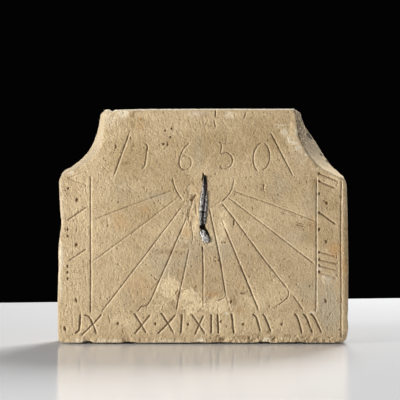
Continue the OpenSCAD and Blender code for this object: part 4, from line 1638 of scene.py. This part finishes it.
class Finish:
    """A procedural material, built node by node."""

    def __init__(self, name: str) -> None:
        """Starts a material with its shader and output.

        Args:
            name: the material's name.
        """
        self.material = bpy.data.materials.new(name)
        self.material.use_nodes = True
        self.tree = self.material.node_tree
        self.tree.nodes.clear()
        self.shader = self.node("ShaderNodeBsdfPrincipled")
        output = self.node("ShaderNodeOutputMaterial")
        self.tree.links.new(self.shader.outputs["BSDF"], output.inputs["Surface"])

    def node(self, kind: str, settings: dict | None = None, inputs: dict | None = None) -> bpy.types.Node:
        """Adds a node.

        Args:
            kind: Blender's name of the node.
            settings: its properties.
            inputs: a value or another node's output for each of its sockets.

        Returns:
            The node.
        """
        made = self.tree.nodes.new(kind)
        for key, value in (settings or {}).items():
            setattr(made, key, value)
        for key, value in (inputs or {}).items():
            self.feed(made.inputs[key], value)
        return made

    def feed(self, socket: bpy.types.NodeSocket, value: object) -> None:
        """Links another node's output to a socket, or sets the socket's own value."""
        if isinstance(value, bpy.types.NodeSocket):
            self.tree.links.new(value, socket)
        else:
            socket.default_value = value

    def value(self, name: str) -> bpy.types.NodeSocket:
        """A number that the mesh's points carry."""
        return self.node("ShaderNodeAttribute", {"attribute_name": name}).outputs["Fac"]

    def noise(self, size_mm: float, detail: float = 3, stretch: tuple = (1, 1, 1)) -> bpy.types.NodeSocket:
        """Noise with lumps of a real size, stretched along an axis where asked."""
        place = self.node("ShaderNodeTexCoord").outputs["Object"]
        inputs = {"Vector": place, "Scale": tuple(1 / s for s in stretch)}
        scaled = self.node("ShaderNodeMapping", None, inputs).outputs["Vector"]
        inputs = {"Vector": scaled, "Scale": 1 / (size_mm * MM), "Detail": detail}
        return self.node("ShaderNodeTexNoise", None, inputs).outputs["Fac"]

    def level(self, source: object, low: float, high: float, top: float = 1) -> bpy.types.NodeSocket:
        """Stretches the part of a number from low to high over 0 to top."""
        settings = {"interpolation_type": "SMOOTHSTEP"}
        inputs = {"Value": source, "From Min": low, "From Max": high, "To Max": top}
        return self.node("ShaderNodeMapRange", settings, inputs).outputs["Result"]

    def maths(self, kind: str, a: object, b: object = 0.5) -> bpy.types.NodeSocket:
        """One sum of two numbers."""
        return self.node("ShaderNodeMath", {"operation": kind}, {0: a, 1: b}).outputs["Value"]

    def blend(self, amount: object, a: object, b: object) -> bpy.types.NodeSocket:
        """Mixes two colours."""
        settings = {"data_type": "RGBA", "clamp_factor": True}
        return self.node("ShaderNodeMix", settings, {0: amount, 6: a, 7: b}).outputs[2]

    def tint(self, colour: object, amount: object, code: str, share: float = 1) -> bpy.types.NodeSocket:
        """Lays a plain colour over another.

        Args:
            colour: what it goes on.
            amount: how much shows, 0 to 1.
            code: the plain colour, as six hexadecimal digits.
            share: the amount is reduced to this share.

        Returns:
            The mixed colour.
        """
        if share < 1:
            amount = self.maths("MULTIPLY", amount, share)
        return self.blend(amount, colour, linear(code))

    def set(self, **inputs: object) -> None:
        """Sets the shader's sockets, named with _ for a space."""
        for key, value in inputs.items():
            self.feed(self.shader.inputs[key.replace("_", " ")], value)

    def bump(self, height: bpy.types.NodeSocket, depth_mm: float, strength: float) -> None:
        """Roughens the shader's surface by a height that spans a real depth."""
        inputs = {"Height": height, "Distance": depth_mm * MM, "Strength": strength}
        self.set(Normal=self.node("ShaderNodeBump", None, inputs).outputs["Normal"])


@dataclass(frozen=True)
class Sandstone:
    """Fine-grained buff sandstone, sawn and chisel-dressed, then weathered outdoors.

    Matt and slightly granular, warm beige with drifts of pale, grey and iron-stained stone,
    dirt and painted shade in the cuts, a painted highlight on the cuts' lit walls, painted
    highlights along the top edge and the coves' back edges, a paler lower right cove, and painted
    shade on the right cove, in the gnomon's slot and in the cove's chips.
    """

    base: str = "BAA27F"
    light: str = "CFB992"
    dark: str = "A48A66"
    grey: str = "A79C85"
    rust: str = "B88B54"
    dusk: str = "A28A62"
    umber: str = "937A54"
    # dark brown of dirt in the cuts, with their painted shade, and of dark grains
    dirt_and_shade: str = "5E4425"
    # pale stone colour, also used for the painted highlights
    pale_and_highlight: str = "E4D8C0"
    cream: str = "E0CAA2"
    stain: str = "7C5A34"
    # colour of the painted shade on the right cove
    side: str = "B0A085"
    painted_cove_shade: str = "6F5D44"
    soot: str = "3A2E20"
    # near-black painted shade for the slot, pocket and chips
    hollow: str = "2A2015"
    roughness: float = 0.92
    grain_mm: float = 1.1
    mottle_mm: float = 17.0
    drift_mm: float = 85.0

    def make(self) -> bpy.types.Material:
        """Builds the material."""
        f = Finish("buff_sandstone_weathered")
        drift = f.level(f.noise(self.drift_mm, 2), 0.34, 0.66)
        colour = f.blend(drift, linear(self.dark), linear(self.light))
        colour = f.tint(colour, 0.62, self.base)
        mottle = f.level(f.noise(self.mottle_mm, 4), 0.38, 0.68)
        colour = f.tint(colour, mottle, self.light, 0.36)
        shaded = f.level(f.noise(self.mottle_mm * 0.6, 5), 0.52, 0.78, 0.38)
        colour = f.tint(colour, shaded, self.dark)
        for tone, code, share in (
            (Tone.DUSK, self.dusk, 0.75),
            (Tone.CREAM, self.cream, 0.85),
            (Tone.PALE, self.pale_and_highlight, 0.8),
            (Tone.GREY, self.grey, 0.8),
            (Tone.RUST, self.rust, 0.7),
            (Tone.STAIN, self.stain, 0.7),
        ):
            colour = f.tint(colour, f.value(tone.value), code, share)
        colour = f.tint(colour, f.maths("SUBTRACT", 1.0, f.value("face")), self.side, 0.85)
        # painted shade on the right cove; the pale crumbs and dark blotches below are laid only there
        painted_cove_shade = f.value("painted_cove_shade")
        colour = f.tint(colour, painted_cove_shade, self.painted_cove_shade, 0.85)
        # paler towards the right cove's lower end
        colour = f.tint(colour, f.value("paler_low_cove"), self.cream, 0.7)
        cloud = f.level(f.noise(self.mottle_mm * 0.7, 4), 0.42, 0.66, 0.42)
        colour = f.tint(colour, f.maths("MULTIPLY", cloud, f.value(Tone.DUSK.value)), self.umber)
        crust = f.level(f.noise(4.5, 4, (1, 1.6, 1)), 0.5, 0.62)
        colour = f.tint(colour, f.maths("MULTIPLY", crust, painted_cove_shade), self.cream, 0.5)
        soot = f.level(f.noise(5.5, 4, (1, 2.2, 1)), 0.55, 0.66)
        colour = f.tint(colour, f.maths("MULTIPLY", soot, painted_cove_shade), self.soot, 0.62)
        for size, detail, low, high, top, code in (
            (8.5, 4, 0.5, 0.7, 0.5, self.dark),
            (2.2, 3, 0.56, 0.75, 0.42, self.dirt_and_shade),
            (2.0, 2, 0.54, 0.76, 0.45, self.pale_and_highlight),
        ):
            colour = f.tint(colour, f.level(f.noise(size, detail), low, high, top), code)
        # painted highlight along the top edge and the coves' back edges
        colour = f.tint(colour, f.level(f.value("pale_and_highlight"), 0.3, 1.0, 0.75), self.pale_and_highlight)
        # dirt and painted shade in the cuts, kept off their lit right walls
        colour = f.tint(colour, f.level(f.value("carved"), 0.3, 1.0, 0.6), self.dirt_and_shade)
        # painted highlight on the cuts' right walls, which face the lamp
        colour = f.tint(colour, f.value("lit_wall_highlight"), self.pale_and_highlight, 0.5)
        # painted shade in the slot, pocket and the cove's chips
        colour = f.tint(colour, f.level(f.value("painted_hollow_shade"), 0.1, 0.7, 0.9), self.hollow)
        f.set(Base_Color=colour, Roughness=self.roughness, Specular_IOR_Level=0.25, IOR=1.5)
        coarse = f.noise(self.grain_mm * 2.3, 4, (1, 1, 1.4))
        height = f.blend(0.4, coarse, f.noise(self.grain_mm * 1.3, 2))
        f.bump(height, 1.7, 1.0)
        return f.material


@dataclass(frozen=True)
class OldIron:
    """Wrought iron, forged flat, rusted black-brown and broken: dark, dull and pitted."""

    scale: str = "171210"
    rust: str = "48323A"
    roughest: float = 0.9
    pit_mm: float = 1.6

    def make(self) -> bpy.types.Material:
        """Builds the material."""
        f = Finish("wrought_iron_rusted")
        blotch = f.level(f.noise(self.pit_mm * 3, 4), 0.45, 0.7)
        f.set(Base_Color=f.blend(blotch, linear(self.scale), linear(self.rust)))
        roughness = f.level(f.noise(self.pit_mm, 3), 0.3, 0.7, self.roughest)
        f.set(Roughness=roughness, Metallic=0.0, Specular_IOR_Level=0.3)
        f.bump(f.noise(self.pit_mm, 4), 0.6, 0.7)
        return f.material


@dataclass(frozen=True)
class OldLead:
    """Lead, poured and hammered into the slot, then weathered: light grey, dull and crumbly.

    A dull oxide skin hides the metal, so it is almost not metallic.
    """

    name: str
    skin: str = "DAD6CF"
    shade: str = "8F8C87"
    pit: str = "33312F"
    roughness: float = 0.62
    dent_mm: float = 3.2

    def make(self) -> bpy.types.Material:
        """Builds the material."""
        f = Finish(self.name)
        patches = f.level(f.noise(self.dent_mm, 5), 0.36, 0.56)
        colour = f.blend(patches, linear(self.shade), linear(self.skin))
        pits = f.level(f.noise(self.dent_mm * 1.1, 3), 0.54, 0.64, 0.85)
        colour = f.tint(colour, pits, self.pit)
        f.set(Base_Color=colour, Roughness=self.roughness, Metallic=0.2)
        f.bump(f.noise(self.dent_mm * 0.5, 4), 1.2, 1.0)
        return f.material


@dataclass(frozen=True)
class Studio:
    """A pale table, a dark backdrop, soft lamps and the camera.

    Lengths are metres. A lamp has a name, a place, the side of its square and its watts.
    """

    table: str = "F3F3F4"
    table_cloud: str = "F1F1F2"
    table_half: float = 2.4
    table_front: float = -2.6
    table_back: float = 0.926
    table_turn: float = 0.164
    table_gap: float = 0.0014
    lens: float = 128.5
    distance: float = 2.2
    camera_x: float = -0.0046
    camera_z: float = 0.221
    backdrop: str = "030303"
    ambient: float = 0.41
    lit_point: tuple[float, float, float] = (0, 0, 0.18)
    lamps: tuple[tuple[str, tuple[float, float, float], float, float], ...] = (
        ("key_left", (-2.55, -1.25, 0.34), 0.5, 100.0),
        ("back_right", (0.66, 1.7, 1.95), 1.0, 86.0),
    )

    def lay_table(self) -> bpy.types.Object:
        """Makes the table top that the slab stands on."""
        half, front, low = self.table_half, self.table_front, -self.table_gap
        turn = self.table_turn * half
        corners = [(-half, front, low), (half, front, low), (half, self.table_back + turn, low)]
        corners.append((-half, self.table_back - turn, low))
        table = make_mesh("table_top", np.array(corners) / MM, [(0, 1, 2, 3)])
        f = Finish("white_laminate_satin")
        cloud = f.blend(f.noise(320, 2), linear(self.table), linear(self.table_cloud))
        f.set(Base_Color=cloud, Roughness=0.16, Specular_IOR_Level=0.12)
        table.data.materials.append(f.material)
        return table

    def light(self) -> None:
        """Sets the world and the soft lamps, the strongest from the left."""
        world = bpy.data.worlds.new("studio")
        bpy.context.scene.world = world
        world.use_nodes = True
        nodes, links = world.node_tree.nodes, world.node_tree.links
        nodes.clear()
        seen = nodes.new("ShaderNodeBackground")
        seen.inputs["Color"].default_value = linear(self.backdrop)
        ambient = nodes.new("ShaderNodeBackground")
        ambient.inputs["Color"].default_value = linear("FFFFFF")
        ambient.inputs["Strength"].default_value = self.ambient
        path = nodes.new("ShaderNodeLightPath")
        mix = nodes.new("ShaderNodeMixShader")
        output = nodes.new("ShaderNodeOutputWorld")
        either = nodes.new("ShaderNodeMath")
        either.operation = "MAXIMUM"
        links.new(path.outputs["Is Camera Ray"], either.inputs[0])
        links.new(path.outputs["Is Glossy Ray"], either.inputs[1])
        links.new(either.outputs["Value"], mix.inputs["Fac"])
        links.new(ambient.outputs["Background"], mix.inputs[1])
        links.new(seen.outputs["Background"], mix.inputs[2])
        links.new(mix.outputs["Shader"], output.inputs["Surface"])
        for name, place, size, power in self.lamps:
            lamp = bpy.data.lights.new(name, "AREA")
            lamp.size = size
            lamp.energy = power
            holder = bpy.data.objects.new(name, lamp)
            holder.location = place
            aim = Vector(self.lit_point) - Vector(place)
            holder.rotation_euler = aim.to_track_quat("-Z", "Y").to_euler()
            bpy.context.scene.collection.objects.link(holder)

    def aim(self) -> None:
        """Stands the camera level in front of the slab, as in the photograph."""
        data = bpy.data.cameras.new("camera")
        data.lens = self.lens
        data.sensor_width = 36.0
        data.clip_end = 20.0
        camera = bpy.data.objects.new("camera", data)
        camera.location = (self.camera_x, -self.distance - 0.035, self.camera_z)
        camera.rotation_euler = (math.pi / 2, 0, 0)
        bpy.context.scene.collection.objects.link(camera)
        bpy.context.scene.camera = camera


def dress(piece: bpy.types.Object, node: str, finish: bpy.types.Material) -> None:
    """Gives a piece its finish and its place in the assembly.

    Args:
        piece: the object.
        node: the CAD node that it stands for.
        finish: its material.
    """
    piece.data.materials.append(finish)
    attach(piece, BODY)
    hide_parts(node)
    log.info("%s: %d faces, stands for %s", piece.name, len(piece.data.polygons), node)


def main() -> None:
    """Builds the studio and every piece in order."""
    logging.basicConfig(level=logging.INFO, format="%(name)s %(message)s")
    scene = bpy.context.scene
    scene.view_settings.view_transform = "Standard"
    studio = Studio()
    studio.aim()
    studio.light()
    studio.lay_table()

    seat = GnomonSeat()
    numerals, knocks = Numerals(), Knocks()
    carving = HourLines().cuts() + numerals.cuts() + DateRow().cuts() + knocks.cuts()
    slab = Slab(seat, carving, numerals.punches() + knocks.hollows(), knocks.scars)
    dress(slab.build(), "dial_slab", Sandstone().make())

    blade = BladeRoot()
    dress(blade.build(seat, slab.face_y), blade.node, OldIron().make())
    caulked = OldLead("lead_caulked").make()
    # darker copy of the lead for the right strip: painted shade from the blade
    shaded_lead_finish = OldLead("lead_caulked_shaded", "A8A49F", "66635F").make()
    shape = {"start": 2.0, "end": 77.5, "crown": 2.1, "ridge_at": 0.3, "inner": 0.2}
    left = LeadStrip("lead_strip_left", "lead_left", -1, seed=71, **shape)
    shape = {"start": 23.0, "end": 74.5, "crown": 1.4, "ridge_at": 0.7, "inner": 0.3}
    right = LeadStrip("lead_strip_right", "lead_right", 1, seed=83, **shape)
    for strip, finish in ((left, caulked), (right, shaded_lead_finish)):
        dress(strip.build(seat, slab.face_y), strip.node, finish)
    foot = LeadFoot()
    poured = OldLead("lead_poured", "D0CDC8", "7E7C79").make()
    dress(foot.build(seat, slab.face_y), foot.node, poured)


if __name__ == "__main__":
    main()
